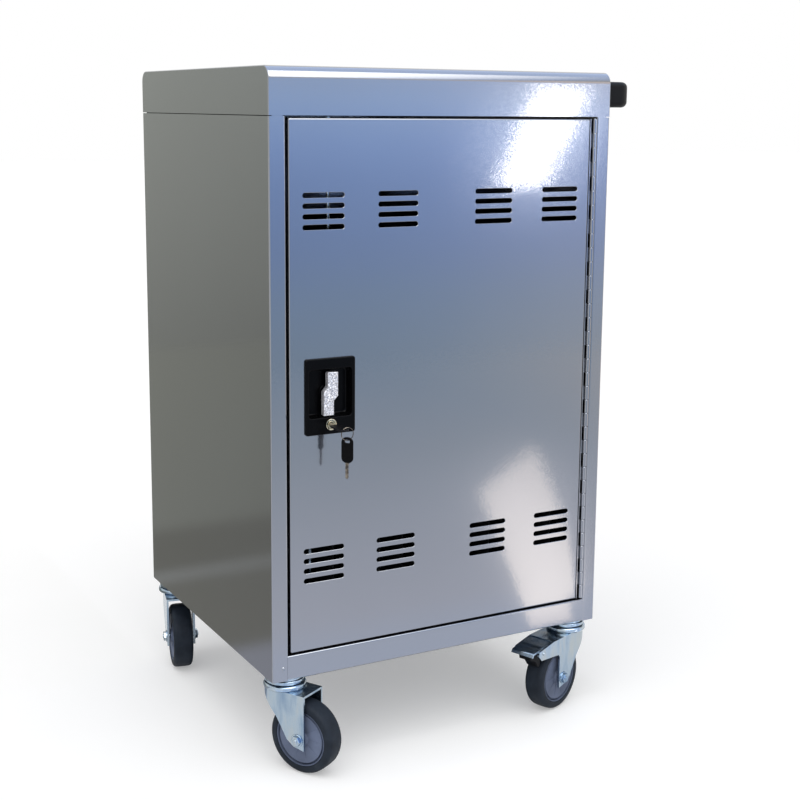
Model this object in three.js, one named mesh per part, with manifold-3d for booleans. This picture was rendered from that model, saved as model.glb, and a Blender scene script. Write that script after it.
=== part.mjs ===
import * as THREE from "three";
import { mergeVertices } from "three/addons/utils/BufferGeometryUtils.js";
import Module from "manifold-3d";

const wasm = await Module();
wasm.setup();

// Millimetres. X runs to the right seen from the front door, Y to the back, Z up from the floor.

const SHEET = 1.5;
const GAP = 0.3;
const SNUG = 0.05;
const SEAM = 0.6;

// Cabinet
const BODY_W = 520;
const BODY_D = 480;
const BODY_H = 800;
const BODY_Z = 130;
const CAP_H = 61;
const CAP_BEND = 12.5;
const CAP_BEND_STEPS = 5;
const STILE = 23;
const HINGE_STILE = 21.4;
const FLANGE = 20;
const KEEPER = 42;
const RAIL_H = 34;
const X_OUT = BODY_W / 2;
const Y_OUT = BODY_D / 2;
const X_IN = X_OUT - SHEET - GAP;
const Y_IN = Y_OUT - SHEET - GAP;
const TOP_Z = BODY_Z + BODY_H;
const CAP_Z = TOP_Z - CAP_H;
const FLOOR_Z = BODY_Z + SHEET;

// Doors
const DOOR_GAP = 3;
const LOCK_SIDE_GAP = 3.5;
const HINGE_SIDE_GAP = 11.6;
const DOOR_LEFT = STILE - X_OUT + LOCK_SIDE_GAP;
const DOOR_RIGHT = X_OUT - HINGE_STILE - HINGE_SIDE_GAP;
const DOOR_W = DOOR_RIGHT - DOOR_LEFT;
const DOOR_MID_X = (DOOR_LEFT + DOOR_RIGHT) / 2;
const DOOR_BOTTOM = BODY_Z + RAIL_H + DOOR_GAP;
const DOOR_TOP = CAP_Z - DOOR_GAP;
const DOOR_DEPTH = 20;

// Vents, from the door's middle
const SLOT_L = 60;
const SLOT_H = 6;
const SLOT_PITCH = 13.5;
const SLOT_ROWS = 4;
const SLOT_EDGE = 48.8;
const SLOT_COLUMN = 108;
const REAR_SLOT_EDGE = 103;
const SLOT_INSET = 116.6;
const SLOT_TOP_Z = DOOR_TOP - SLOT_INSET;
const SLOT_LOW_Z = DOOR_BOTTOM + SLOT_INSET;

// Piano hinges
const KNUCKLE_R = 3.2;
const HINGE_SET = 0.4;
const HINGE_X = X_OUT - HINGE_STILE - KNUCKLE_R - 2 * GAP;
const HINGE_Y = HINGE_SET - Y_OUT;
const KNUCKLE_SIDES = 8;
const FRONT_KNUCKLES = 35;
const REAR_KNUCKLES = 7;
const HINGE_PIN_R = 1.4;
const HINGE_PIN_SIDES = 6;
const LEAF_T = 1.1;
const LEAF_DEPTH = 20;

// Swing-handle lock
const LOCK_INSET = 57;
const LOCK_DROP = 3.5;
const LOCK_X = DOOR_LEFT + LOCK_INSET;
const LOCK_Z = (DOOR_BOTTOM + DOOR_TOP) / 2 - LOCK_DROP;
const BEZEL_W = 71.5;
const BEZEL_H = 100.8;
const BEZEL_R = 6;
const BEZEL_T = 3.5;
const BEZEL_Y = -Y_OUT - BEZEL_T;
const BEZEL_MID_Z = LOCK_Z - 3.1;
const BEZEL_LIP = 2.8;
const LOCK_BODY_W = BEZEL_W - 2 * BEZEL_LIP;
const LOCK_BODY_H = BEZEL_H - 2 * BEZEL_LIP;
const LOCK_BODY_R = 3;
const LOCK_BODY_DEPTH = 26.5;
const LOCK_BODY_BACK = LOCK_BODY_DEPTH - Y_OUT;
const POCKET = 61.8;
const POCKET_DEPTH = 14;
const HANDLE_HALF = 28.5;
const HANDLE_HALF_W = 7.3;
const HANDLE_OFFSET = 3;
const HANDLE_STEP = [-3, -9.5];
const HANDLE_T = 9;
const SHAFT_R = 6;
const SPIGOT_R = 4;
const CAM_T = 2;
const CAM_Y = LOCK_BODY_BACK + 2;
const CAM_ARM = 14;
const CAM_PIN_R = 2.5;
const YOKE_SPARE = 0.22 * CAM_ARM;
const TONGUE = 64;
const TONGUE_HALF_W = 7;
const ROD_R = 3;
const ROD_Y = CAM_Y + CAM_T + ROD_R + 0.5;
const ROD_END_GAP = 2;
const YOKE_T = 1.8;
const YOKE_RIM = 4;
const GUIDE_T = 2;
const GUIDE_W = 24;
const GUIDE_INSET = 46;
const KEEPER_HOLE_R = ROD_R + 1.5;

// Key cylinder and keys
const PLUG_INSET = 13.1;
const PLUG_Z = BEZEL_MID_Z - BEZEL_H / 2 + PLUG_INSET;
const COLLAR_R = 9;
const BARREL_R = 7.4;
const PLUG_R = 5;
const KEY_T = 1.8;
const KEY_BLADE_W = 7;
const KEY_DEPTH = 20;
const KEY_TANG = 8;
const KEY_HEAD_T = 2.4;
const KEY_HEAD_W = 15;
const KEY_HEAD_L = 35;
const KEY_HOLE_R = 3.7;
const KEY_HEAD_R = 7;
const KEY_REACH = 46;
const KEY_END_Y = -Y_OUT - KEY_REACH;
const KEY_HOLE_Y = KEY_END_Y + 6.5;
const RING_R = 8.5;
const RING_WIRE_R = 0.8;
const RING_X = LOCK_X + RING_R * Math.SQRT1_2;
const RING_Z = PLUG_Z - RING_R * Math.SQRT1_2;
const SPARE_W = 16;
const SPARE_L = 34;
const SPARE_BLADE_W = 4.8;
const SPARE_BLADE_L = 22;
const SPARE_HOLE_W = 9;
const SPARE_HOLE_H = 5;
const SPARE_HOLE_Z = RING_WIRE_R + GAP - SPARE_HOLE_H / 2;
const SPARE_TOP = RING_WIRE_R + GAP + 3.2;
const SPARE_TURN = -Math.PI / 4;

// Cam lock of the rear door
const REAR_LOCK_INSET = 33.5;
const REAR_LOCK_X = DOOR_LEFT + REAR_LOCK_INSET;
const REAR_BARREL_R = 9;
const REAR_CAM_Y = DOOR_DEPTH + 3 - Y_OUT;
const REAR_CAM_L = 45;

// Inside
const REAR_SPACE = 120;
const PARTITION_Y = Y_OUT - REAR_SPACE;
const SHELF_Z = (FLOOR_Z + CAP_Z) / 2;
const SHELF_SETBACK = 45;
const SHELF_FRONT = SHELF_SETBACK - Y_OUT;
const LIP = 18;
const BAYS = 12;
const RACK_MARGIN = 44;
const RACK_SETBACK = 56;
const RACK_TO_PARTITION = 10;
const RACK_W = BODY_W - 2 * RACK_MARGIN;
const RACK_Y = [RACK_SETBACK - Y_OUT, PARTITION_Y - RACK_TO_PARTITION];
const BAY_PITCH = RACK_W / BAYS;
const FIN = 2;
const FIN_H = 220;
const CABLE_SLOT_W = 380;
const CABLE_SLOT_H = 30;
const CABLE_SLOT_R = 6;
const CABLE_SLOT_DROP = 60;
const STRIP_L = RACK_W + 4;
const STRIP_H = 44;
const STRIP_D = 38;
const STRIP_DROP = 170;
const STRIP_FACE = PARTITION_Y + SHEET + GAP + STRIP_D;
const LOWER_STRIP_Z = SHELF_Z - STRIP_DROP;
const UPPER_STRIP_Z = CAP_Z - STRIP_DROP;
const OUTLETS = 12;
const STRIP_END = 20;
const OUTLET_PITCH = (STRIP_L - 2 * STRIP_END) / OUTLETS;
const OUTLET_W = 24;
const OUTLET_H = 28;
const OUTLET_DEPTH = 6;
const SWITCH_INSET = 12;
const SWITCH_X = STRIP_L / 2 - SWITCH_INSET;
const SWITCH_W = 13;
const SWITCH_H = 20;
const SWITCH_AXIS = 5;
const SWITCH_TILT = 8 * Math.PI / 180;
const INLET_SETBACK = 65;
const INLET_RISE = 80;
const INLET_Y = Y_OUT - INLET_SETBACK;
const INLET_Z = BODY_Z + INLET_RISE;
const INLET_W = 27;
const INLET_H = 19.5;
const INLET_DEPTH = 28;
const INLET_WALL = 1.5;
const INLET_EAR = 10.5;
const SOCKET_DEPTH = 14;
const SOCKET_PIN_PITCH = 7;

// Push handle on the right end of the cap
const PUSH_DROP = 30;
const PUSH_Z = TOP_Z - PUSH_DROP;
const PUSH_H = 36;
const PUSH_REACH = 60;
const PUSH_HALF_L = 215;
const PUSH_BAR = 22;
const PUSH_BEND = 24;
const PUSH_EDGE = 7;

// Casters
const CASTER_INSET_X = 30;
const CASTER_INSET_Y = 28;
const CASTER_X = X_OUT - CASTER_INSET_X;
const CASTER_Y = Y_OUT - CASTER_INSET_Y;
const CASTER_SPOTS = [
  [-CASTER_X, -CASTER_Y],
  [CASTER_X, -CASTER_Y],
  [-CASTER_X, CASTER_Y],
  [CASTER_X, CASTER_Y],
];
const TRAIL = 35;
const TYRE_R = 50;
const TYRE_HALF = 15;
const TYRE_SIDES = 24;
const CORE_R = 38.5;
const BOSS_HALF = 16.5;
const BOSS_R = 10;
const AXLE_R = 4;
const AXLE_HEAD_R = 7.5;
const AXLE_HALF = 27;
const AXLE_Z = TYRE_R * Math.cos(Math.PI / TYRE_SIDES);
const FORK_HALF = 22;
const FORK_T = 3;
const FORK_TAIL = 46;
const CROWN_Z = BODY_Z - 17;
const RACE_Z = BODY_Z - 9;
const UPPER_RACE_R = 27;
const LOWER_RACE_R = 29;
const FORK_NOSE_X = FORK_HALF - LOWER_RACE_R;
const RACE_SIDES = 16;
const STEM_R = 6;
const NUT_R = 10.9;
const PAD_HALF = 28;
const PAD_T = 4;
const PAD_Z = FLOOR_Z + PAD_T;
const NUT_H = 9;
const RIVET_H = 5;
const ARM_L = 54;
const ARM_START = FORK_TAIL + 16;
const ARM_END = FORK_TAIL + ARM_L;
const PEDAL_PIVOT = [ARM_END - 12.6, CROWN_Z - 11];
const PEDAL_PIN_R = 3;
const PEDAL_T = 2.5;

// The cabinet is drawn about its own middle; this shift puts the origin under the whole cart's middle.
const FOOTPRINT_X = 3 - PUSH_REACH / 2;
const FOOTPRINT_Y = KEY_REACH / 2 - 3;

// Colour, roughness and metalness
const PAINT = [0x9aa2ae, 0.32, 0.75];
const ZINC = [0xb9c2c8, 0.3, 0.95];
const BLACK = [0x121214, 0.45, 0];
const GLOSS_BLACK = [0x0b0b0c, 0.18, 0];
const STEEL = [0xa8a9ab, 0.35, 0.95];
const DIE_CAST = [0xc9cace, 0.4, 0.9];
const CORE_GREY = [0x6d7079, 0.6, 0];
const RUBBER = [0x2b2c2f, 0.85, 0];
const RACK_GREY = [0x3a3d42, 0.7, 0];

function solid(geometry) {
  geometry.deleteAttribute("normal");
  geometry.deleteAttribute("uv");
  const merged = mergeVertices(geometry, 1e-4);
  return new wasm.Manifold(new wasm.Mesh({
    numProp: 3,
    vertProperties: new Float32Array(merged.attributes.position.array),
    triVerts: new Uint32Array(merged.index.array),
  }));
}

const sum = (solids) => solids.reduce((a, b) => a.add(b));
const without = (body, tools) => tools.reduce((a, b) => a.subtract(b), body);
const around = (middle, half) => [middle - half, middle + half];
const range = (count) => Array.from({ length: count }, (_, i) => i);
const centred = (count, pitch) => range(count).map((i) => (i - (count - 1) / 2) * pitch);

function plate(points, holes = []) {
  const shape = new THREE.Shape(points.map(([x, y]) => new THREE.Vector2(x, y)));
  shape.holes = holes.map((hole) => plate(hole));
  return shape;
}

function box([x0, x1], [y0, y1], [z0, z1]) {
  const geometry = new THREE.BoxGeometry(x1 - x0, y1 - y0, z1 - z0);
  return solid(geometry.translate((x0 + x1) / 2, (y0 + y1) / 2, (z0 + z1) / 2));
}

const extrusion = (shape, depth) => new THREE.ExtrudeGeometry(shape, { depth, bevelEnabled: false });

// A shape drawn in X and Y, standing along Z.
function alongZ(shape, [z0, z1]) {
  return solid(extrusion(shape, z1 - z0).translate(0, 0, z0));
}

// A shape drawn in X and Z, running along Y.
function alongY(shape, [y0, y1]) {
  return solid(extrusion(shape, y1 - y0).rotateX(Math.PI / 2).translate(0, y1, 0));
}

// A shape drawn in Y and Z, running along X.
function alongX(shape, [x0, x1]) {
  const turned = extrusion(shape, x1 - x0).rotateX(Math.PI / 2).rotateZ(Math.PI / 2);
  return solid(turned.translate(x0, 0, 0));
}

function rodZ(x, y, r, [z0, z1], sides = 12) {
  const geometry = new THREE.CylinderGeometry(r, r, z1 - z0, sides).rotateX(Math.PI / 2);
  return solid(geometry.translate(x, y, (z0 + z1) / 2));
}

function rodY(x, z, r, [y0, y1], sides = 12) {
  const geometry = new THREE.CylinderGeometry(r, r, y1 - y0, sides);
  return solid(geometry.translate(x, (y0 + y1) / 2, z));
}

const turned = (profile, sides) =>
  new THREE.LatheGeometry(profile.map(([r, y]) => new THREE.Vector2(r, y)), sides);

// Sheet metal folded along a path, with the sheet on the right of the path.
function folded(path, thickness = SHEET) {
  const points = path.map(([x, y]) => new THREE.Vector2(x, y));
  const normals = points.slice(1).map((p, i) => {
    const d = p.clone().sub(points[i]).normalize();
    return new THREE.Vector2(d.y, -d.x);
  });
  const inner = points.map((p, i) => {
    const a = normals[Math.max(i - 1, 0)];
    const b = normals[Math.min(i, normals.length - 1)];
    return p.clone().addScaledVector(a.clone().add(b), thickness / (1 + a.dot(b)));
  });
  return new THREE.Shape([...points, ...inner.reverse()]);
}

function arc(cx, cy, r, from, to, steps) {
  return range(steps + 1).map((i) => {
    const a = from + (to - from) * i / steps;
    return [cx + r * Math.cos(a), cy + r * Math.sin(a)];
  });
}

const circle = (x, y, r, sides = 12) => arc(x, y, r, 0, 2 * Math.PI * (1 - 1 / sides), sides - 1);

function roundedRect(x, y, w, h, r, steps = 3) {
  return [[1, 1], [-1, 1], [-1, -1], [1, -1]].flatMap(([sx, sy], i) => {
    const from = i * Math.PI / 2;
    return arc(x + sx * (w / 2 - r), y + sy * (h / 2 - r), r, from, from + Math.PI / 2, steps);
  });
}

const stadium = (x, y, w, h, steps = 2) => roundedRect(x, y, w, h, h / 2 - 0.01, steps);
const rect = ([x0, x1], [y0, y1]) => [[x0, y0], [x1, y0], [x1, y1], [x0, y1]];

function piece(name, body, [color, roughness, metalness]) {
  const { vertProperties, triVerts } = body.getMesh();
  const geometry = new THREE.BufferGeometry();
  geometry.setAttribute("position", new THREE.BufferAttribute(vertProperties, 3));
  geometry.setIndex(new THREE.BufferAttribute(triVerts, 1));
  geometry.computeVertexNormals();
  const material = new THREE.MeshStandardMaterial({ color, roughness, metalness });
  const mesh = new THREE.Mesh(geometry, material);
  mesh.name = name;
  return mesh;
}

// Cabinet shell. Each side panel is the other one turned half a turn.

function sidePanel() {
  const sheet = folded([
    [STILE - X_OUT, FLANGE - Y_OUT],
    [STILE - X_OUT, -Y_OUT],
    [-X_OUT, -Y_OUT],
    [-X_OUT, Y_OUT],
    [HINGE_STILE - X_OUT, Y_OUT],
    [HINGE_STILE - X_OUT, Y_OUT - FLANGE],
  ]);
  const top = CAP_Z - SEAM;
  const flangeY = Y_OUT - FLANGE - GAP;
  const flange = box([SHEET / 2 - X_OUT, FLANGE - X_OUT], [-flangeY, flangeY], [top - SHEET, top]);
  const deep = Y_OUT - SHEET;
  const notch = box([SHEET - X_OUT, 0], [-deep, deep], [BODY_Z - 1, PAD_Z + GAP]);
  return alongZ(sheet, [BODY_Z, top]).add(flange).subtract(notch);
}

const halfTurn = (body) => body.rotate([0, 0, 180]);

function rightPanel() {
  const cut = rect(around(INLET_Y, INLET_W / 2 + GAP), around(INLET_Z, INLET_H / 2 + GAP));
  return halfTurn(sidePanel()).subtract(alongX(plate(cut), [X_OUT - FLANGE, X_OUT + 1]));
}

function basePan() {
  const rail = alongX(folded([
    [KEEPER - Y_OUT, BODY_Z],
    [-Y_OUT, BODY_Z],
    [-Y_OUT, BODY_Z + RAIL_H],
    [KEEPER - Y_OUT, BODY_Z + RAIL_H],
  ]), [STILE + SEAM - X_OUT, X_OUT - HINGE_STILE - SEAM]);
  const floor = box([-X_IN, X_IN], [-Y_IN, Y_IN], [BODY_Z, FLOOR_Z]);
  const sides = [X_IN - SHEET / 2, SHEET / 2 - X_IN].map((x) =>
    box(around(x, SHEET / 2), [KEEPER - Y_OUT, PARTITION_Y - GAP], [BODY_Z, BODY_Z + FLANGE]));
  const pads = CASTER_SPOTS.map(([x, y]) =>
    box(around(x, PAD_HALF), around(y, PAD_HALF - 3), [BODY_Z, PAD_Z]));
  const stems = CASTER_SPOTS.map(([x, y]) => rodZ(x, y, STEM_R + GAP, [BODY_Z - 1, PAD_Z + 1]));
  const keeper = rodZ(LOCK_X - CAM_ARM, ROD_Y, KEEPER_HOLE_R, around(BODY_Z + RAIL_H, SHEET * 2));
  return without(sum([floor, rail, halfTurn(rail), ...sides, ...pads]), [...stems, keeper]);
}

function capSection(close) {
  const shoulder = TOP_Z - CAP_BEND;
  const front = arc(CAP_BEND - Y_OUT, shoulder, CAP_BEND, Math.PI, Math.PI / 2, CAP_BEND_STEPS);
  const back = arc(Y_OUT - CAP_BEND, shoulder, CAP_BEND, Math.PI / 2, 0, CAP_BEND_STEPS);
  return [...close(-1), [-Y_OUT, CAP_Z], ...front, ...back, [Y_OUT, CAP_Z], ...close(1)];
}

function topCap() {
  const lip = (side) => [[side * (Y_OUT - KEEPER), CAP_Z]];
  const shell = alongX(folded(capSection(lip)), [-X_OUT, X_OUT]);
  const end = plate(capSection(() => []));
  const ends = [-X_OUT, X_OUT - SHEET].map((x) => alongX(end, [x, x + SHEET]));
  const sides = [-X_OUT, X_OUT - FLANGE].map((x) =>
    box([x, x + FLANGE], [SHEET - Y_OUT, Y_OUT - SHEET], [CAP_Z, CAP_Z + SHEET]));
  const keeper = rodZ(LOCK_X + CAM_ARM, ROD_Y, KEEPER_HOLE_R, around(CAP_Z, SHEET * 2));
  return sum([shell, ...ends, ...sides]).subtract(keeper);
}

function pushHandle() {
  const out = X_OUT + PUSH_REACH;
  const inner = PUSH_BEND - PUSH_BAR + 5;
  const bend = (r, reach, half) => [
    ...arc(reach - r, r - half, r, -Math.PI / 2, 0, 5),
    ...arc(reach - r, half - r, r, 0, Math.PI / 2, 5),
  ];
  const bar = plate([
    [X_OUT - PUSH_EDGE, -PUSH_HALF_L],
    ...bend(PUSH_BEND, out, PUSH_HALF_L),
    [X_OUT - PUSH_EDGE, PUSH_HALF_L],
    [X_OUT - PUSH_EDGE, PUSH_HALF_L - PUSH_BAR],
    ...bend(inner, out - PUSH_BAR, PUSH_HALF_L - PUSH_BAR).reverse(),
    [X_OUT - PUSH_EDGE, PUSH_BAR - PUSH_HALF_L],
  ]);
  const geometry = new THREE.ExtrudeGeometry(bar, {
    depth: PUSH_H - 2 * PUSH_EDGE,
    bevelThickness: PUSH_EDGE,
    bevelSize: PUSH_EDGE,
    bevelOffset: -PUSH_EDGE,
    bevelSegments: 2,
  });
  const grip = solid(geometry.translate(0, 0, PUSH_Z - PUSH_H / 2 + PUSH_EDGE));
  const cap = box([0, X_OUT + GAP / 2], around(0, Y_OUT), [CAP_Z, TOP_Z]);
  return grip.subtract(cap);
}

// Doors. Both are drawn as the front one, hinged on the right.

function vents(columns, steps) {
  const heights = [SLOT_TOP_Z, SLOT_LOW_Z].flatMap((middle) =>
    centred(SLOT_ROWS, SLOT_PITCH).map((z) => middle + z));
  return columns.flatMap((x) =>
    heights.map((z) => stadium(DOOR_MID_X + x, z, SLOT_L, SLOT_H, steps)));
}

function doorPan(holes) {
  const width = [DOOR_LEFT, DOOR_RIGHT];
  const height = [DOOR_BOTTOM, DOOR_TOP];
  const inside = rect([DOOR_LEFT + SHEET, DOOR_RIGHT - SHEET], [DOOR_BOTTOM + SHEET, DOOR_TOP - SHEET]);
  const face = alongY(plate(rect(width, height), holes), [-Y_OUT, SHEET - Y_OUT]);
  const returns = alongY(plate(rect(width, height), [inside]), [-Y_OUT, DOOR_DEPTH - Y_OUT]);
  return face.add(returns);
}

function frontDoor() {
  const outer = DOOR_W / 2 - SLOT_EDGE;
  const inner = outer - SLOT_COLUMN;
  const columns = [-outer, -inner, inner, outer];
  const cutOut = roundedRect(LOCK_X, BEZEL_MID_Z, LOCK_BODY_W + 1, LOCK_BODY_H + 1, LOCK_BODY_R);
  return doorPan([...vents(columns, 2), cutOut]);
}

function rearDoor() {
  const lock = circle(REAR_LOCK_X, LOCK_Z, REAR_BARREL_R + GAP);
  const outer = DOOR_W / 2 - REAR_SLOT_EDGE;
  return doorPan([...vents([-outer, outer], 1), lock]);
}

function knuckles(count, first) {
  const pitch = (DOOR_TOP - DOOR_BOTTOM) / count;
  return range(count).filter((i) => i % 2 === first).map((i) =>
    [DOOR_BOTTOM + i * pitch + GAP, DOOR_BOTTOM + (i + 1) * pitch - GAP]);
}

function rolled(leaf, spans, tab) {
  const rolls = spans.map((z) => rodZ(HINGE_X, HINGE_Y, KNUCKLE_R, z, KNUCKLE_SIDES));
  const bore = rodZ(HINGE_X, HINGE_Y, HINGE_PIN_R + GAP, [DOOR_BOTTOM - 1, DOOR_TOP + 1], HINGE_PIN_SIDES);
  return sum([leaf, ...rolls, ...spans.map(tab)]).subtract(bore);
}

function frameLeaf(count) {
  const x = [X_OUT - HINGE_STILE - GAP - LEAF_T, X_OUT - HINGE_STILE - GAP];
  const leaf = box(x, [HINGE_Y + KNUCKLE_R - GAP, HINGE_Y + LEAF_DEPTH], [DOOR_BOTTOM, DOOR_TOP]);
  return rolled(leaf, knuckles(count, 0), (z) => box(x, [HINGE_Y + 1, HINGE_Y + KNUCKLE_R], z));
}

function doorLeaf(count) {
  const x = DOOR_RIGHT + GAP;
  const leaf = box([x, x + LEAF_T], [HINGE_Y, HINGE_Y + LEAF_DEPTH], [DOOR_BOTTOM, DOOR_TOP]);
  const web = (z) => box([x, HINGE_X - KNUCKLE_R / 2], around(HINGE_Y, LEAF_T / 2), z);
  return rolled(leaf, knuckles(count, 1), web);
}

const hingePin = () => rodZ(HINGE_X, HINGE_Y, HINGE_PIN_R, [DOOR_BOTTOM, DOOR_TOP], HINGE_PIN_SIDES);

// Lock on the front door

function lockHousing() {
  const frame = roundedRect(LOCK_X, BEZEL_MID_Z, BEZEL_W, BEZEL_H, BEZEL_R);
  const bezel = alongY(plate(frame), [BEZEL_Y, -Y_OUT - GAP / 2]);
  const core = roundedRect(LOCK_X, BEZEL_MID_Z, LOCK_BODY_W, LOCK_BODY_H, LOCK_BODY_R);
  const body = alongY(plate(core), [BEZEL_Y + 1, LOCK_BODY_BACK]);
  const pocket = roundedRect(LOCK_X, LOCK_Z + 1, POCKET, POCKET + 2, 4);
  return without(bezel.add(body), [
    alongY(plate(pocket), [BEZEL_Y - 1, BEZEL_Y + POCKET_DEPTH]),
    rodY(LOCK_X, LOCK_Z, SHAFT_R + GAP, [BEZEL_Y, LOCK_BODY_BACK + 1]),
    rodY(LOCK_X, PLUG_Z, BARREL_R + GAP, [BEZEL_Y - 1, LOCK_BODY_BACK + 1]),
  ]);
}

function lockHandle() {
  const wide = HANDLE_HALF_W + HANDLE_OFFSET;
  const narrow = HANDLE_HALF_W - HANDLE_OFFSET;
  const [step, waist] = HANDLE_STEP;
  const right = [[wide, HANDLE_HALF], [wide, step], [narrow, waist], [narrow, -HANDLE_HALF]];
  const left = right.map(([x, z]) => [-x, -z]);
  const grip = [...right, ...left].map(([x, z]) => [LOCK_X + x, LOCK_Z + z]);
  const front = BEZEL_Y - 1;
  return sum([
    alongY(plate(grip), [front, front + HANDLE_T]),
    rodY(LOCK_X, LOCK_Z, SHAFT_R, [front + HANDLE_T - 1, CAM_Y - GAP]),
    rodY(LOCK_X, LOCK_Z, SPIGOT_R, [CAM_Y - 1, CAM_Y + CAM_T]),
  ]);
}

function lockCam() {
  const y = [CAM_Y, CAM_Y + CAM_T];
  const arms = box(around(LOCK_X, CAM_ARM + CAM_PIN_R * 2), y, around(LOCK_Z, CAM_PIN_R * 2));
  const tongue = box(around(LOCK_X, TONGUE_HALF_W), y, [LOCK_Z - TONGUE_HALF_W, LOCK_Z + TONGUE]);
  const pins = [-CAM_ARM, CAM_ARM].map((x) =>
    rodY(LOCK_X + x, LOCK_Z, CAM_PIN_R, [CAM_Y, CAM_Y + CAM_T + 2 * YOKE_T + 4 * GAP]));
  const bore = rodY(LOCK_X, LOCK_Z, SPIGOT_R + GAP / 2, [CAM_Y - 1, ROD_Y]);
  return sum([arms, tongue, ...pins]).subtract(bore);
}

// side is 1 for the upper rod and -1 for the lower one; the pin slides along the yoke's slot.
function lockRod(side, layer, end) {
  const x = LOCK_X + side * CAM_ARM;
  const y = CAM_Y + CAM_T + GAP + layer * (YOKE_T + GAP);
  const low = side * (CAM_PIN_R + GAP);
  const high = side * (CAM_PIN_R + GAP + YOKE_SPARE);
  const reach = CAM_PIN_R + 0.7;
  const slotX = [LOCK_X - side * reach, x + side * reach].sort((a, b) => a - b);
  const slotZ = [LOCK_Z - low, LOCK_Z + high].sort((a, b) => a - b);
  const grown = ([a, b]) => [a - YOKE_RIM, b + YOKE_RIM];
  const yoke = alongY(plate(rect(grown(slotX), grown(slotZ)), [rect(slotX, slotZ)]), [y, y + YOKE_T]);
  const shank = [LOCK_Z + high + side * YOKE_RIM / 2, end].sort((a, b) => a - b);
  return yoke.add(rodZ(x, ROD_Y, ROD_R, shank));
}

function rodGuide(side, z) {
  const x = LOCK_X + side * CAM_ARM;
  const back = SHEET + GAP - Y_OUT;
  const bracket = folded([[back, z - GUIDE_W], [back, z], [ROD_Y + ROD_R * 2, z]], GUIDE_T);
  const hole = rodZ(x, ROD_Y, ROD_R + GAP, around(z, GUIDE_T * 2));
  return alongX(bracket, around(x, GUIDE_W / 2)).subtract(hole);
}

// Key cylinder and keys

function lockBarrel() {
  const collar = rodY(LOCK_X, PLUG_Z, COLLAR_R, [BEZEL_Y - 2, BEZEL_Y - GAP / 2], 16);
  const tube = rodY(LOCK_X, PLUG_Z, BARREL_R, [BEZEL_Y - 1, LOCK_BODY_BACK + 1]);
  return collar.add(tube).subtract(rodY(LOCK_X, PLUG_Z, PLUG_R + GAP, [BEZEL_Y - 3, ROD_Y]));
}

const keyBlade = (slack) => box(
  around(LOCK_X, KEY_BLADE_W / 2 + slack),
  [KEY_END_Y + KEY_HEAD_L - KEY_TANG - slack, BEZEL_Y + KEY_DEPTH + slack],
  around(PLUG_Z, KEY_T / 2 + slack),
);

function lockPlug() {
  return rodY(LOCK_X, PLUG_Z, PLUG_R, [BEZEL_Y - 2.6, LOCK_BODY_BACK + 2]).subtract(keyBlade(GAP));
}

function keyHead() {
  const middle = KEY_END_Y + KEY_HEAD_L / 2;
  const shape = plate(
    roundedRect(LOCK_X, middle, KEY_HEAD_W, KEY_HEAD_L, KEY_HEAD_R),
    [circle(LOCK_X, KEY_HOLE_Y, KEY_HOLE_R)],
  );
  return alongZ(shape, around(PLUG_Z, KEY_HEAD_T / 2)).subtract(keyBlade(SNUG));
}

function keyRing() {
  const ring = new THREE.TorusGeometry(RING_R, RING_WIRE_R, 6, 18).rotateX(Math.PI / 2);
  return solid(ring.translate(RING_X, KEY_HOLE_Y, RING_Z));
}

// The spare key is drawn hanging from the origin, flat side to the front.
const spareBlade = (slack) => box(
  around(0, SPARE_BLADE_W / 2 + slack),
  around(0, KEY_T / 2 + slack),
  [SPARE_TOP - SPARE_L - SPARE_BLADE_L - slack, SPARE_TOP - SPARE_L + KEY_TANG + slack],
);

function spareHead() {
  const hole = stadium(0, SPARE_HOLE_Z, SPARE_HOLE_W, SPARE_HOLE_H);
  const shape = plate(roundedRect(0, SPARE_TOP - SPARE_L / 2, SPARE_W, SPARE_L, KEY_HEAD_R), [hole]);
  return alongY(shape, around(0, KEY_HEAD_T / 2)).subtract(spareBlade(SNUG));
}

function spareKey() {
  const group = new THREE.Group();
  group.position.set(RING_X, KEY_HOLE_Y, RING_Z - RING_R);
  group.rotation.z = SPARE_TURN;
  group.add(piece("spare_key_head", spareHead(), BLACK));
  group.add(piece("spare_key_blade", spareBlade(0), STEEL));
  return group;
}

// Cam lock of the rear door

function rearBarrel() {
  const flange = rodY(REAR_LOCK_X, LOCK_Z, REAR_BARREL_R + 3, [-Y_OUT - 2, -Y_OUT - GAP / 2]);
  const tube = rodY(REAR_LOCK_X, LOCK_Z, REAR_BARREL_R, [-Y_OUT - 1, REAR_CAM_Y - GAP]);
  const bore = rodY(REAR_LOCK_X, LOCK_Z, SPIGOT_R + GAP, [-Y_OUT - 3, REAR_CAM_Y]);
  return flange.add(tube).subtract(bore);
}

function rearCam() {
  const y = [REAR_CAM_Y, REAR_CAM_Y + CAM_T];
  const arm = box(around(REAR_LOCK_X, TONGUE_HALF_W), y, [LOCK_Z - REAR_CAM_L, LOCK_Z + TONGUE_HALF_W]);
  const plug = rodY(REAR_LOCK_X, LOCK_Z, SPIGOT_R, [-Y_OUT - 2.4, REAR_CAM_Y + 1]);
  const keyway = box(around(REAR_LOCK_X, KEY_T / 2), [-Y_OUT - 3, -Y_OUT + 12], around(LOCK_Z, 2.8));
  return arm.add(plug).subtract(keyway);
}

// Inside

function deviceShelf() {
  const back = PARTITION_Y - GAP;
  const tray = folded([
    [SHELF_FRONT, SHELF_Z - LIP],
    [SHELF_FRONT, SHELF_Z],
    [back, SHELF_Z],
    [back, SHELF_Z - LIP],
  ]);
  const sides = [SHEET - X_IN, X_IN].map((x) =>
    box([x - SHEET, x], [SHELF_FRONT, back], [SHELF_Z - LIP, SHELF_Z]));
  return sum([alongX(tray, around(0, X_IN - SHEET / 2)), ...sides]);
}

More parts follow.
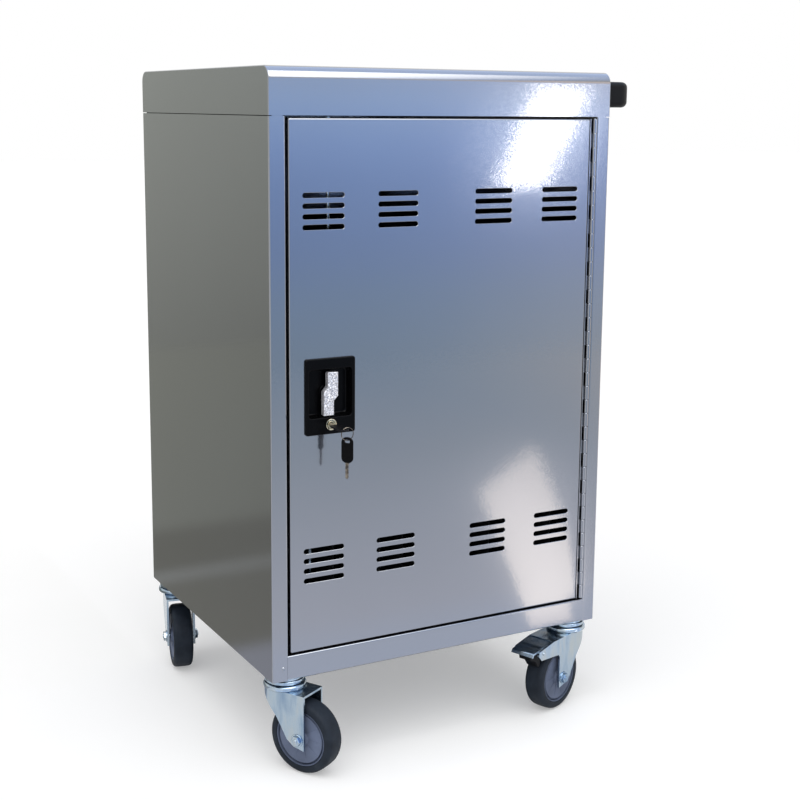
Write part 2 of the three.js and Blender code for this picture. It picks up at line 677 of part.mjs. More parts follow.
function cablePartition() {
  const web = folded([
    [X_IN, PARTITION_Y + LIP],
    [X_IN, PARTITION_Y],
    [-X_IN, PARTITION_Y],
    [-X_IN, PARTITION_Y + LIP],
  ]);
  const passes = [SHELF_Z, CAP_Z].map((top) => {
    const hole = roundedRect(0, top - CABLE_SLOT_DROP, CABLE_SLOT_W, CABLE_SLOT_H, CABLE_SLOT_R, 1);
    return alongY(plate(hole), around(PARTITION_Y, SHEET * 2));
  });
  return without(alongZ(web, [FLOOR_Z + GAP, CAP_Z - SEAM - SHEET - GAP]), passes);
}

function dividerRack(z) {
  const fins = centred(BAYS + 1, BAY_PITCH).map((x) =>
    box(around(x, FIN / 2), RACK_Y, [z, z + FIN_H]));
  const half = BAYS * BAY_PITCH / 2 + FIN / 2;
  return sum([box([-half, half], RACK_Y, [z, z + FIN]), ...fins]);
}

function powerStrip(z) {
  const bar = box(around(0, STRIP_L / 2), [STRIP_FACE - STRIP_D, STRIP_FACE], around(z, STRIP_H / 2));
  const outlets = centred(OUTLETS, OUTLET_PITCH).map((x) =>
    box(around(x, OUTLET_W / 2), [STRIP_FACE - OUTLET_DEPTH, STRIP_FACE + 1], around(z, OUTLET_H / 2)));
  const pocket = box(
    around(SWITCH_X, SWITCH_W / 2 + GAP),
    [STRIP_FACE - 12, STRIP_FACE + 1],
    around(z, SWITCH_H / 2 + 1),
  );
  return without(bar, [...outlets, pocket]);
}

function rocker() {
  const half = SWITCH_H / 2 - 0.5;
  const side = plate([[-4, -4], [6.5, -half], [4.5, 0], [6.5, half], [-4, 4]]);
  return alongX(side, around(0, SWITCH_W / 2));
}

function rockerSwitch(name, z) {
  const mesh = piece(name, rocker(), BLACK);
  mesh.position.set(SWITCH_X, STRIP_FACE - SWITCH_AXIS, z);
  mesh.rotation.x = -SWITCH_TILT;
  return mesh;
}

function powerInlet() {
  const inner = X_OUT - INLET_DEPTH;
  const outline = (ear, wall) =>
    plate(roundedRect(INLET_Y, INLET_Z, INLET_W + 2 * ear, INLET_H + 2 * wall, 4));
  const flange = alongX(outline(INLET_EAR, INLET_WALL), [X_OUT + GAP / 2, X_OUT + 3]);
  const can = alongX(outline(0, 0), [inner, X_OUT + 1]);
  const socket = alongX(outline(-INLET_WALL, -INLET_WALL), [X_OUT - SOCKET_DEPTH, X_OUT + 4]);
  const pins = centred(3, SOCKET_PIN_PITCH).map((dy) =>
    box([X_OUT - SOCKET_DEPTH - 1, X_OUT - 1], around(INLET_Y + dy, 1), around(INLET_Z, 2)));
  return sum([flange.add(can).subtract(socket), ...pins]);
}

// Casters, drawn with the swivel axis on Z and the wheel trailing along X.

function casterStem() {
  const crown = CROWN_Z - FORK_T;
  const profile = [
    [0, crown - RIVET_H],
    [STEM_R + 3, crown - RIVET_H],
    [STEM_R + 3, crown - GAP],
    [STEM_R, crown - GAP],
    [STEM_R, RACE_Z],
    [UPPER_RACE_R, RACE_Z],
    [UPPER_RACE_R, BODY_Z - GAP],
    [STEM_R, BODY_Z - GAP],
    [STEM_R, PAD_Z + NUT_H + 3],
    [0, PAD_Z + NUT_H + 3],
  ];
  const nut = rodZ(0, 0, NUT_R, [PAD_Z + GAP, PAD_Z + NUT_H], 6);
  return solid(turned(profile, RACE_SIDES).rotateX(Math.PI / 2)).add(nut);
}

function forkOutline(tail, inset) {
  const half = FORK_HALF - inset;
  return [...arc(FORK_NOSE_X, 0, half, Math.PI / 2, 1.5 * Math.PI, 6), [tail, -half], [tail, half]];
}

function forkSide(braked) {
  const arm = [
    [ARM_START, CROWN_Z],
    [ARM_END - 1, CROWN_Z - 6],
    [ARM_END, CROWN_Z - 12],
    [ARM_END - 7, CROWN_Z - 20],
    [FORK_TAIL + 4, CROWN_Z - 24],
    [FORK_TAIL, CROWN_Z - 28],
  ];
  return [
    ...(braked ? arm : [[FORK_TAIL, CROWN_Z]]),
    [FORK_TAIL, AXLE_Z - 13],
    [TRAIL - 6, AXLE_Z - 9.5],
    [TRAIL - 16.5, AXLE_Z - 2],
    [2, CROWN_Z - 38],
    [-20, CROWN_Z - 12],
    [-LOWER_RACE_R, CROWN_Z - FORK_T],
    [-LOWER_RACE_R, CROWN_Z],
  ];
}

function fork(braked) {
  const low = AXLE_Z - TYRE_R;
  const tail = braked ? ARM_END : FORK_TAIL;
  const shell = alongZ(plate(forkOutline(tail, 0)), [low, CROWN_Z])
    .subtract(alongZ(plate(forkOutline(ARM_END + 1, FORK_T)), [low - 1, CROWN_Z - FORK_T]))
    .intersect(alongY(plate(forkSide(braked)), around(0, FORK_HALF + 1)));
  const race = rodZ(0, 0, LOWER_RACE_R, [CROWN_Z - 1, RACE_Z - GAP], RACE_SIDES);
  const across = around(0, FORK_HALF + 1);
  const [pivotX, pivotZ] = PEDAL_PIVOT;
  return without(shell.add(race), [
    rodZ(0, 0, STEM_R + GAP, [CROWN_Z - 9, RACE_Z + 1], RACE_SIDES),
    rodY(TRAIL, AXLE_Z, AXLE_R + GAP, across),
    box([ARM_START, ARM_END + 1], around(0, FORK_HALF - FORK_T), [CROWN_Z - 5, CROWN_Z + 1]),
    rodY(pivotX, pivotZ, PEDAL_PIN_R + GAP, across),
  ]);
}

function axle() {
  const heads = [FORK_HALF + GAP / 2, -AXLE_HALF].map((y) =>
    rodY(TRAIL, AXLE_Z, AXLE_HEAD_R, [y, y + AXLE_HALF - FORK_HALF - GAP / 2], 6));
  return sum([rodY(TRAIL, AXLE_Z, AXLE_R, around(0, AXLE_HALF - 1)), ...heads]);
}

const aboutAxle = (profile) => {
  const geometry = turned(profile, TYRE_SIDES).rotateY(Math.PI / 2 + Math.PI / TYRE_SIDES);
  return solid(geometry.translate(TRAIL, 0, AXLE_Z));
};

function bothSides(half) {
  const other = half.map(([r, y]) => [r, -y]).reverse();
  return [...other, ...half, other[0]];
}

function wheelCore() {
  return aboutAxle(bothSides([[CORE_R, TYRE_HALF - 3], [BOSS_R, BOSS_HALF], [AXLE_R + GAP, BOSS_HALF]]));
}

function tyre() {
  return aboutAxle(bothSides([[TYRE_R, TYRE_HALF - 6], [TYRE_R - 5, TYRE_HALF], [CORE_R + SNUG, TYRE_HALF]]));
}

function brakePedal() {
  const [x, z] = PEDAL_PIVOT;
  const tread = folded([
    [ARM_START + 2, z + 9.5],
    [x + 22.6, z + 5],
    [x + 25.2, z],
  ], PEDAL_T);
  const shoe = plate([
    [x - 5.4, z + 6.5],
    [x + 19, z + 3.5],
    [x + 17, z - 9],
    [x + 5, z - 14],
    [x - 2.9, z - 25],
    [x - 7.9, z - 23],
  ]);
  return sum([
    alongY(tread, around(0, FORK_HALF - FORK_T - GAP)),
    alongY(shoe, around(0, TYRE_HALF - 5)),
    rodY(x, z, PEDAL_PIN_R, around(0, FORK_HALF + 1.2)),
  ]);
}

function caster(name, [x, y], heading, braked) {
  const group = new THREE.Group();
  group.position.set(x, y, 0);
  group.rotation.z = heading * Math.PI / 180;
  group.add(piece(`${name}_caster_stem`, casterStem(), ZINC));
  group.add(piece(`${name}_fork`, fork(braked), ZINC));
  group.add(piece(`${name}_axle`, axle(), ZINC));
  group.add(piece(`${name}_wheel`, wheelCore(), CORE_GREY));
  group.add(piece(`${name}_tyre`, tyre(), RUBBER));
  if (braked) {
    group.add(piece(`${name}_brake_pedal`, brakePedal(), ZINC));
  }
  return group;
}

function cabinet() {
  const group = new THREE.Group();
  group.add(piece("left_side_panel", sidePanel(), PAINT));
  group.add(piece("right_side_panel", rightPanel(), PAINT));
  group.add(piece("base_pan", basePan(), PAINT));
  group.add(piece("top_cap", topCap(), PAINT));
  group.add(piece("push_handle", pushHandle(), BLACK));
  group.add(piece("device_shelf", deviceShelf(), PAINT));
  group.add(piece("cable_partition", cablePartition(), PAINT));
  group.add(piece("lower_divider_rack", dividerRack(FLOOR_Z + GAP), RACK_GREY));
  group.add(piece("upper_divider_rack", dividerRack(SHELF_Z + GAP), RACK_GREY));
  group.add(piece("lower_power_strip", powerStrip(LOWER_STRIP_Z), RACK_GREY));
  group.add(piece("upper_power_strip", powerStrip(UPPER_STRIP_Z), RACK_GREY));
  group.add(rockerSwitch("lower_strip_switch", LOWER_STRIP_Z));
  group.add(rockerSwitch("upper_strip_switch", UPPER_STRIP_Z));
  group.add(piece("power_inlet", powerInlet(), BLACK));
  return group;
}

function hinge(name, count) {
  const group = new THREE.Group();
  group.add(piece(`${name}_hinge_frame_leaf`, frameLeaf(count), PAINT));
  group.add(piece(`${name}_hinge_door_leaf`, doorLeaf(count), PAINT));
  group.add(piece(`${name}_hinge_pin`, hingePin(), STEEL));
  return group;
}

function frontSide() {
  const group = hinge("front", FRONT_KNUCKLES);
  group.add(piece("front_door", frontDoor(), PAINT));
  group.add(piece("lock_housing", lockHousing(), GLOSS_BLACK));
  group.add(piece("lock_handle", lockHandle(), DIE_CAST));
  group.add(piece("lock_cam", lockCam(), ZINC));
  group.add(piece("upper_lock_rod", lockRod(1, 0, CAP_Z - ROD_END_GAP), ZINC));
  group.add(piece("lower_lock_rod", lockRod(-1, 1, BODY_Z + RAIL_H + ROD_END_GAP), ZINC));
  group.add(piece("upper_rod_guide", rodGuide(1, DOOR_TOP - GUIDE_INSET), ZINC));
  group.add(piece("lower_rod_guide", rodGuide(-1, DOOR_BOTTOM + GUIDE_INSET), ZINC));
  group.add(piece("lock_barrel", lockBarrel(), STEEL));
  group.add(piece("lock_plug", lockPlug(), STEEL));
  group.add(piece("front_key_blade", keyBlade(0), STEEL));
  group.add(piece("front_key_head", keyHead(), BLACK));
  group.add(piece("key_ring", keyRing(), STEEL));
  group.add(spareKey());
  return group;
}

function rearSide() {
  const group = hinge("rear", REAR_KNUCKLES);
  group.rotation.z = Math.PI;
  group.add(piece("rear_door", rearDoor(), PAINT));
  group.add(piece("rear_lock_barrel", rearBarrel(), STEEL));
  group.add(piece("rear_lock_cam", rearCam(), ZINC));
  return group;
}

const cart = new THREE.Group();
cart.position.set(FOOTPRINT_X, FOOTPRINT_Y, 0);
cart.add(cabinet(), frontSide(), rearSide());
cart.add(caster("front_left", CASTER_SPOTS[0], -60, false));
cart.add(caster("front_right", CASTER_SPOTS[1], 201, true));
cart.add(caster("back_left", CASTER_SPOTS[2], -103, false));
cart.add(caster("back_right", CASTER_SPOTS[3], 170, true));

export default cart;
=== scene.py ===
import math

import bmesh
import bpy
from mathutils import Matrix, Vector

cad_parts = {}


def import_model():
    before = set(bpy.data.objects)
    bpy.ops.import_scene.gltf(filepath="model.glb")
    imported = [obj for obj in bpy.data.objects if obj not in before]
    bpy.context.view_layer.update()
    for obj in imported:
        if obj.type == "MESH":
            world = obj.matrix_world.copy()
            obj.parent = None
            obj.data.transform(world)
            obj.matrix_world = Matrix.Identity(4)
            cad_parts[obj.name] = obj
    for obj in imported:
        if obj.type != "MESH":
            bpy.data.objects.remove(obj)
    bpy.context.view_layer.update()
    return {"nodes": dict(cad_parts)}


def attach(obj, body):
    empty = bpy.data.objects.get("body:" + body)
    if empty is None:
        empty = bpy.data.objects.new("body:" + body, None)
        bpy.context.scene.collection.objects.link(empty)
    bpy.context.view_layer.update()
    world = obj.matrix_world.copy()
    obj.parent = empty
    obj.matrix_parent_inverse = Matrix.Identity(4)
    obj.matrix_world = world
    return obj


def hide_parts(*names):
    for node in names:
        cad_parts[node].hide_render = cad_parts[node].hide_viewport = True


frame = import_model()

# Sizes in millimetres about the cabinet's middle, as in the part's source.
SHIFT = Matrix.Translation((-0.027, 0.020, 0)) @ Matrix.Scale(0.001, 4)
HALF_TURN = Matrix.Rotation(math.pi, 4, "Z")
HERE = Matrix.Identity(4)
X_OUT, Y_OUT = 260, 240
BODY_Z, CAP_Z, TOP_Z = 130, 869, 930
SHEET, FOLD_R = 1.5, 2.4
STILE, HINGE_STILE = 23, 21.4
FLANGE, FLANGE_INSET, FLANGE_LEAN = 20, 1.6, 6
CAP_GAP, CAP_SEAT, CAP_BEND, CAP_EDGE = 1, 0.05, 16, 1.6
KEEPER, RAIL_H = 42, 34
RAIL_X, RAIL_LAP_X = 240, 238.4
FLOOR_Z = BODY_Z + SHEET
PAN_X, PAN_Y, PAN_LIFT = 258.2, 238.2, 0.2
UPSTAND_X, UPSTAND_HALF, UPSTAND_Y = 257.45, 0.75, (-198, 119)
PAD_X, PAD_Y, PAD_Z = 28, 25, FLOOR_Z + 4
PUSH_Z, PUSH_REACH, PUSH_HALF_L = 900, 49, 204
PUSH_W, PUSH_H, PUSH_EDGE, PUSH_BEND, PUSH_GAP = 22, 36, 8, 13, 0.2
RIVET_X, RIVET_RISE = -244.2, 17.6

DOOR_X = (-233.5, 227)
DOOR_Z = (167, 866)
DOOR_W, DOOR_H = DOOR_X[1] - DOOR_X[0], DOOR_Z[1] - DOOR_Z[0]
DOOR_MID_X, DOOR_MID_Z = sum(DOOR_X) / 2, sum(DOOR_Z) / 2
DOOR_DEPTH, DOOR_BEND, DOOR_CORNER, LEAST_CORNER = 20, 2.2, 2.4, 0.2
VENT, VENT_RIM, VENT_RIM_DEPTH = (59, 6.8), (59.7, 7.5), 0.3
VENT_ROWS, VENT_ROW_PITCH, VENT_END_STEPS = 4, 13.5, 10
VENT_BLOCK_EDGE, VENT_EDGE, VENT_COLUMN_PITCH, REAR_VENT_EDGE = 116.6, 48.8, 108, 103
HINGE_X, HINGE_Y = 234.8, -239.6
FRAME_LEAF_X, DOOR_LEAF_X, LEAF_DEPTH = (237.2, 238.3), (227.3, 228.4), 20
KNUCKLE_R, KNUCKLE_GAP, HINGE_PIN_R = 3.2, 0.3, 1.4

LOCK_X, LOCK_Z = -176.5, 513
LOCK_HOLE, LOCK_HOLE_R = (66.9, 96.2), 3
HOUSING, HOUSING_TIP, HOUSING_R = (65.9, 95.2), (64.9, 94.2), 3
HOUSING_BACK_Y, HOUSING_TIP_L = -213.5, 0.7
BEZEL_Y, BEZEL_MID_Z = -243.5, 509.9
BEZEL_W, BEZEL_H, BEZEL_R, BEZEL_EDGE, BEZEL_GAP = 71.5, 100.8, 3.4, 1.6, 0.2
POCKET_W, POCKET_H, POCKET_R, POCKET_DEPTH = 61.8, 63.8, 4.5, 14
POCKET_RIM, POCKET_TAPER, POCKET_FILLET = 1.2, 1.5, 2.5
HANDLE_PROUD, HANDLE_T = 1, 9
PLUG_Z = 472.6
ROD_ARM, ROD_Y = 14, -206
KEEPER_HOLE_R = 4.5
KEY_W, KEY_L, KEY_T, KEY_CORNER = 15, 35, 2.4, 6.8
KEY_END_Y = -286
KEY_HOLE_Y, KEY_HOLE_R = KEY_END_Y + 6.5, 3.7
RING_R, RING_WIRE_R, RING_STEPS = 8.5, 0.42, 96
RING_X = LOCK_X + RING_R * math.sqrt(0.5)
RING_Z = PLUG_Z - RING_R * math.sqrt(0.5)
SPARE_W, SPARE_L, SPARE_T, SPARE_MID = 16, 34, 2.6, -12.7
SPARE_HOLE_W, SPARE_HOLE_H, SPARE_HOLE_MID, SPARE_HOLE_R = 7.4, 4.8, -1.2, 2.39
SPARE_BLADE_HALF_T = 0.9
REAR_LOCK_X, REAR_LOCK_HOLE_R = -200, 9.3

STRIP_FACE = 159.8
STRIPS = {"lower": 330.25, "upper": 699}
OUTLETS, OUTLET_PITCH, OUTLET_W, OUTLET_H = 12, 33, 23.6, 27.6
OUTLET_FACE, OUTLET_FLOOR = STRIP_FACE - 4.4, STRIP_FACE - 6

CASTER_X, CASTER_Y = 230, 212
TRAIL, AXLE_Z = 35, 49.572
CROWN_Z, RACE_Z = 113, 121
FORK_HALF, FORK_T, FORK_TAIL, RACE_R = 22, 3, 46, 29
ARM_START, ARM_END, ARM_SPARE = 62, 100, 9
RIBS = 10
PEDAL_X, PEDAL_Z, PEDAL_HALF, SHOE_HALF = 87.4, 102, 18.7, 10
CASTERS = {
    "front_left": (-CASTER_X, -CASTER_Y, -60, False),
    "front_right": (CASTER_X, -CASTER_Y, 201, True),
    "back_left": (-CASTER_X, CASTER_Y, -103, False),
    "back_right": (CASTER_X, CASTER_Y, 170, True),
}

# Camera place in metres and turn in degrees.
CAMERA_AT = (-0.97953, -1.82227, 0.87996)
CAMERA_TURN = (80.1417, -0.4723, -28.6842)
LENS, SENSOR, CAMERA_SHIFT = 62.88, 36, -0.0625


# Materials

class Shader:
    def __init__(self, name, metallic=0.0, roughness=0.5, **sockets):
        self.material = bpy.data.materials.new(name)
        self.material.use_nodes = True
        self.tree = self.material.node_tree
        self.bsdf = self.tree.nodes["Principled BSDF"]
        self.bsdf.inputs["Metallic"].default_value = metallic
        self.bsdf.inputs["Roughness"].default_value = roughness
        for socket, value in sockets.items():
            self.bsdf.inputs[socket.replace("_", " ")].default_value = value
        self.where = self.tree.nodes.new("ShaderNodeTexCoord").outputs["Object"]

    def link(self, output, socket):
        self.tree.links.new(output, socket)

    def node(self, kind, **inputs):
        made = self.tree.nodes.new(kind)
        for socket, value in inputs.items():
            made.inputs[socket.replace("_", " ")].default_value = value
        return made

    def stretched(self, x, y, z):
        mapping = self.node("ShaderNodeMapping", Scale=(x, y, z))
        self.link(self.where, mapping.inputs["Vector"])
        return mapping.outputs["Vector"]

    def noise(self, scale, detail=3.0, where=None):
        made = self.node("ShaderNodeTexNoise", Scale=scale, Detail=detail)
        self.link(where or self.where, made.inputs["Vector"])
        return made.outputs["Fac"]

    def ramp(self, factor, stops):
        made = self.node("ShaderNodeValToRGB")
        elements = made.color_ramp.elements
        while len(elements) < len(stops):
            elements.new(0.5)
        for element, (place, colour) in zip(elements, stops):
            element.position = place
            element.color = (*colour, 1)
        self.link(factor, made.inputs["Fac"])
        return made.outputs["Color"]

    def spread(self, factor, low, high):
        made = self.node("ShaderNodeMapRange", To_Min=low, To_Max=high)
        self.link(factor, made.inputs["Value"])
        return made.outputs["Result"]

    def colour(self, factor, stops):
        self.link(self.ramp(factor, stops), self.bsdf.inputs["Base Color"])
        return self

    def rough(self, factor, low, high):
        self.link(self.spread(factor, low, high), self.bsdf.inputs["Roughness"])
        return self

    def bumped(self, factor, distance, strength=1.0):
        made = self.node("ShaderNodeBump", Strength=strength, Distance=distance)
        self.link(factor, made.inputs["Height"])
        return made.outputs["Normal"]

    def bump(self, factor, distance, strength=1.0):
        self.link(self.bumped(factor, distance, strength), self.bsdf.inputs["Normal"])
        return self

    # Small flat flakes that each face a little away from the surface.
    def flakes(self, scale, tilt, socket="Normal", surface=None):
        cells = self.node("ShaderNodeTexVoronoi", Scale=scale)
        self.link(self.where, cells.inputs["Vector"])
        centred = self.node("ShaderNodeVectorMath")
        centred.operation = "SUBTRACT"
        centred.inputs[1].default_value = (0.5, 0.5, 0.5)
        self.link(cells.outputs["Color"], centred.inputs[0])
        lean = self.node("ShaderNodeVectorMath")
        lean.operation = "SCALE"
        lean.inputs["Scale"].default_value = tilt
        self.link(centred.outputs["Vector"], lean.inputs[0])
        surface = surface or self.node("ShaderNodeNewGeometry").outputs["Normal"]
        turned = self.node("ShaderNodeVectorMath")
        turned.operation = "ADD"
        self.link(surface, turned.inputs[0])
        self.link(lean.outputs["Vector"], turned.inputs[1])
        unit = self.node("ShaderNodeVectorMath")
        unit.operation = "NORMALIZE"
        self.link(turned.outputs["Vector"], unit.inputs[0])
        self.link(unit.outputs["Vector"], self.bsdf.inputs[socket])
        return self


def near(colour, change):
    return tuple(max(0.0, value * (1 + change)) for value in colour)


def silver_paint():
    base = (0.145, 0.157, 0.187)
    shader = Shader("silver_paint", 0.9, 0.18, Coat_Weight=1.0, Coat_Roughness=0.045, Coat_IOR=2.25)
    shader.colour(shader.noise(3.0), [(0.3, near(base, -0.05)), (0.7, near(base, 0.05))])
    shader.rough(shader.noise(9.0), 0.13, 0.17)
    peel = shader.bumped(shader.noise(300.0, 1.0), 0.000014)
    return shader.flakes(2200.0, 0.05).flakes(1100.0, 0.016, "Coat Normal", peel).material


def zinc():
    shader = Shader("zinc", 1.0, 0.3)
    streaks = shader.noise(60.0, 4.0, shader.stretched(1, 1, 0.25))
    shader.colour(streaks, [(0.3, (0.2, 0.29, 0.41)), (0.5, (0.36, 0.44, 0.52)), (0.7, (0.44, 0.47, 0.47))])
    shader.rough(shader.noise(150.0), 0.12, 0.24)
    return shader.bump(shader.noise(500.0), 0.0001, 0.2).material


def steel():
    shader = Shader("steel", 1.0, 0.3)
    grain = shader.noise(120.0, 4.0, shader.stretched(1, 1, 8))
    shader.colour(grain, [(0.3, (0.46, 0.47, 0.49)), (0.7, (0.60, 0.61, 0.62))])
    return shader.rough(grain, 0.24, 0.4).material


def plated():
    shader = Shader("plated", 1.0, 0.16)
    shader.colour(shader.noise(90.0), [(0.3, (0.3, 0.25, 0.14)), (0.7, (0.62, 0.57, 0.44))])
    return shader.rough(shader.noise(300.0), 0.1, 0.24).material


def key_metal():
    shader = Shader("key_metal", 1.0, 0.3)
    shader.colour(shader.noise(260.0), [(0.35, (0.06, 0.052, 0.045)), (0.65, (0.27, 0.235, 0.19))])
    return shader.rough(shader.noise(300.0), 0.22, 0.4).material


def die_cast():
    shader = Shader("die_cast", 0.4, 0.4)
    shader.colour(shader.noise(800.0, 1.0), [(0.4, (0.3, 0.3, 0.33)), (0.62, (0.84, 0.84, 0.88))])
    shader.rough(shader.noise(400.0), 0.28, 0.45)
    return shader.flakes(600.0, 0.8).material


def plastic(name, base, low, high, grain, depth):
    shader = Shader(name, 0.0, (low + high) / 2, Specular_IOR_Level=0.12)
    shader.colour(shader.noise(25.0), [(0.3, near(base, -0.2)), (0.7, near(base, 0.25))])
    shader.rough(shader.noise(70.0), low, high)
    return shader.bump(shader.noise(grain, 2.0), depth, 0.5).material


def gloss_black():
    base = (0.0015, 0.0015, 0.002)
    shader = Shader("gloss_black", 0.0, 0.26, Specular_IOR_Level=0.06)
    shader.colour(shader.noise(30.0), [(0.3, base), (0.7, near(base, 0.6))])
    shader.rough(shader.noise(60.0), 0.2, 0.32)
    return shader.bump(shader.noise(700.0, 2.0), 0.00006, 0.3).material


def rubber():
    shader = Shader("tyre", 0.0, 0.6, Specular_IOR_Level=0.2)
    worn = shader.noise(45.0, 6.0)
    shader.colour(worn, [
        (0.35, (0.006, 0.010, 0.017)), (0.6, (0.011, 0.017, 0.027)), (0.8, (0.024, 0.032, 0.044)),
    ])
    shader.rough(shader.noise(120.0), 0.5, 0.8)
    return shader.bump(shader.noise(900.0, 3.0), 0.0002, 0.4).material


PAINT = silver_paint()
ZINC = zinc()
STEEL = steel()
KEY_METAL = key_metal()
PLATED = plated()
DIE_CAST = die_cast()
BLACK = plastic("black_plastic", (0.003, 0.003, 0.004), 0.38, 0.55, 600.0, 0.0001)
GLOSS = gloss_black()
DARK = plastic("dark_plastic", (0.045, 0.048, 0.052), 0.5, 0.7, 500.0, 0.0001)
CORE = plastic("wheel_core", (0.115, 0.14, 0.21), 0.45, 0.62, 400.0, 0.0002)
RUBBER = rubber()


# Mesh building

def arc(cx, cy, r, start, end, steps):
    angles = [math.radians(start + (end - start) * i / steps) for i in range(steps + 1)]
    return [(cx + r * math.cos(a), cy + r * math.sin(a)) for a in angles]


def rounded(cx, cy, w, h, r, steps=5):
    points = []
    for i, (sx, sy) in enumerate([(1, 1), (-1, 1), (-1, -1), (1, -1)]):
        points += arc(cx + sx * (w / 2 - r), cy + sy * (h / 2 - r), r, 90 * i, 90 * i + 90, steps)
    return points


def rectangle(half_x, half_y):
    return [(-half_x, -half_y), (half_x, -half_y), (half_x, half_y), (-half_x, half_y)]


def in_x(points, x):
    return [(x, a, b) for a, b in points]


def in_y(points, y):
    return [(a, y, b) for a, b in points]


def in_z(points, z):
    return [(a, b, z) for a, b in points]


def joined(bm, a, b):
    count = len(a)
    for i in range(count):
        j = (i + 1) % count
        bm.faces.new((a[i], a[j], b[j], b[i]))


def loft(bm, loops, ends=True, closed=False):
    rings = [[bm.verts.new(p) for p in loop] for loop in loops]
    for a, b in zip(rings, rings[1:]):
        joined(bm, a, b)
    if closed:
        joined(bm, rings[-1], rings[0])
    elif ends:
        bm.faces.new(rings[0][::-1])
        bm.faces.new(rings[-1])
    return rings


def block(bm, xs, ys, zs):
    corners = [(xs[0], ys[0]), (xs[1], ys[0]), (xs[1], ys[1]), (xs[0], ys[1])]
    loft(bm, [in_z(corners, zs[0]), in_z(corners, zs[1])])


def lathe(bm, profile, sides, place=HERE, closed=False):
    turns = [2 * math.pi * i / sides for i in range(sides)]
    loops = [[place @ Vector((r * math.cos(a), r * math.sin(a), h)) for a in turns] for r, h in profile]
    loft(bm, loops, True, closed)


def filled(bm, rings, normal):
    edges = []
    for ring in rings:
        for a, b in zip(ring, ring[1:] + ring[:1]):
            edges.append(bm.edges.get((a, b)) or bm.edges.new((a, b)))
    bmesh.ops.triangle_fill(bm, use_beauty=True, edges=edges, normal=normal)


# A round upright hole through the sheet whose two faces lie at these heights.
def pierced(bm, x, y, radius, levels):
    rims = []
    for z in levels:
        face = next(f for f in bm.faces if covers(f, x, y, z))
        corners = list(face.verts)
        normal = face.normal.copy()
        bmesh.ops.delete(bm, geom=[face], context="FACES_ONLY")
        rims.append([bm.verts.new(p) for p in in_z(arc(x, y, radius, 0, 345, 23), z)])
        filled(bm, [corners, rims[-1]], normal)
    joined(bm, *rims)


def covers(face, x, y, z):
    xs, ys, zs = zip(*[v.co for v in face.verts])
    return min(xs) < x < max(xs) and min(ys) < y < max(ys) and max(abs(z - level) for level in zs) < 1e-3


# Points and sideways directions along a path whose corners are rounded.
def bent(path, radius, steps=5):
    points = [Vector(p) for p in path]
    samples = []
    for i, p in enumerate(points):
        before = (p - points[i - 1]).normalized() if i else None
        after = (points[i + 1] - p).normalized() if i + 1 < len(points) else None
        if before is None or after is None:
            d = before or after
            samples.append((p, Vector((d.y, -d.x))))
            continue
        turn = before.angle_signed(after)
        back = radius * math.tan(abs(turn) / 2)
        side = -1 if turn < 0 else 1
        first = p - before * back
        centre = first + Vector((before.y, -before.x)) * radius * side
        for k in range(steps + 1):
            spin = Matrix.Rotation(-turn * k / steps, 2)
            n = spin @ Vector((before.y, -before.x))
            samples.append((centre - n * radius * side, n))
    return samples


def folded(path, radius=FOLD_R, thickness=SHEET):
    samples = bent(path, radius)
    return [tuple(p) for p, _ in samples] + [tuple(p + n * thickness) for p, n in reversed(samples)]


# Places that turn a lathe's upright axis towards the front or the back.
def facing(x, y, z, way=1):
    return Matrix.Translation((x, y, z)) @ Matrix.Rotation(way * math.pi / 2, 4, "X")


def start():
    return bmesh.new()


def finish(name, bm, material, body, nodes=(), at=HERE, bevel=0.0, steps=2, angle=35):
    bmesh.ops.remove_doubles(bm, verts=bm.verts, dist=1e-4)
    bmesh.ops.recalc_face_normals(bm, faces=bm.faces)
    bm.transform(SHIFT @ at)
    mesh = bpy.data.meshes.new(name)
    bm.to_mesh(mesh)
    bm.free()
    return placed(name, mesh, material, body, nodes, bevel, steps, angle)


def placed(name, mesh, material, body, nodes=(), bevel=0.0, steps=2, angle=35):
    mesh.materials.clear()
    mesh.materials.append(material)
    mesh.shade_smooth()
    mesh.set_sharp_from_angle(angle=math.radians(angle))
    piece = bpy.data.objects.new(name, mesh)
    bpy.context.collection.objects.link(piece)
    if bevel:
        edges = piece.modifiers.new("edges", "BEVEL")
        edges.width = bevel * 0.001
        edges.segments = steps
        edges.limit_method = "ANGLE"
        edges.angle_limit = math.radians(angle)
    flat = piece.modifiers.new("flat", "WEIGHTED_NORMAL")
    flat.keep_sharp = True
    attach(piece, body)
    if nodes:
        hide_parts(*nodes)
    return piece


# A CAD node's own shape with its triangles joined into flat faces and its edges rounded.
def refined(node, material, body, bevel=0.5, steps=2):
    bm = bmesh.new()
    bm.from_mesh(frame["nodes"][node].data)
    bmesh.ops.remove_doubles(bm, verts=bm.verts, dist=1e-6)
    bmesh.ops.dissolve_limit(bm, angle_limit=math.radians(1), verts=bm.verts, edges=bm.edges)
    bmesh.ops.recalc_face_normals(bm, faces=bm.faces)
    mesh = bpy.data.meshes.new(node + "_edged")
    bm.to_mesh(mesh)
    bm.free()
    return placed(node + "_edged", mesh, material, body, [node], bevel, steps)


def cut(target, tool, how):
    mod = target.modifiers.new("cut", "BOOLEAN")
    mod.operation = how
    mod.solver = "EXACT"
    mod.object = tool
    graph = bpy.context.evaluated_depsgraph_get()
    mesh = bpy.data.meshes.new_from_object(target.evaluated_get(graph))
    for old in (target, tool):
        bpy.data.objects.remove(old)
    return loose(mesh)


def loose(mesh):
    made = bpy.data.objects.new("loose", mesh)
    bpy.context.collection.objects.link(made)
    return made


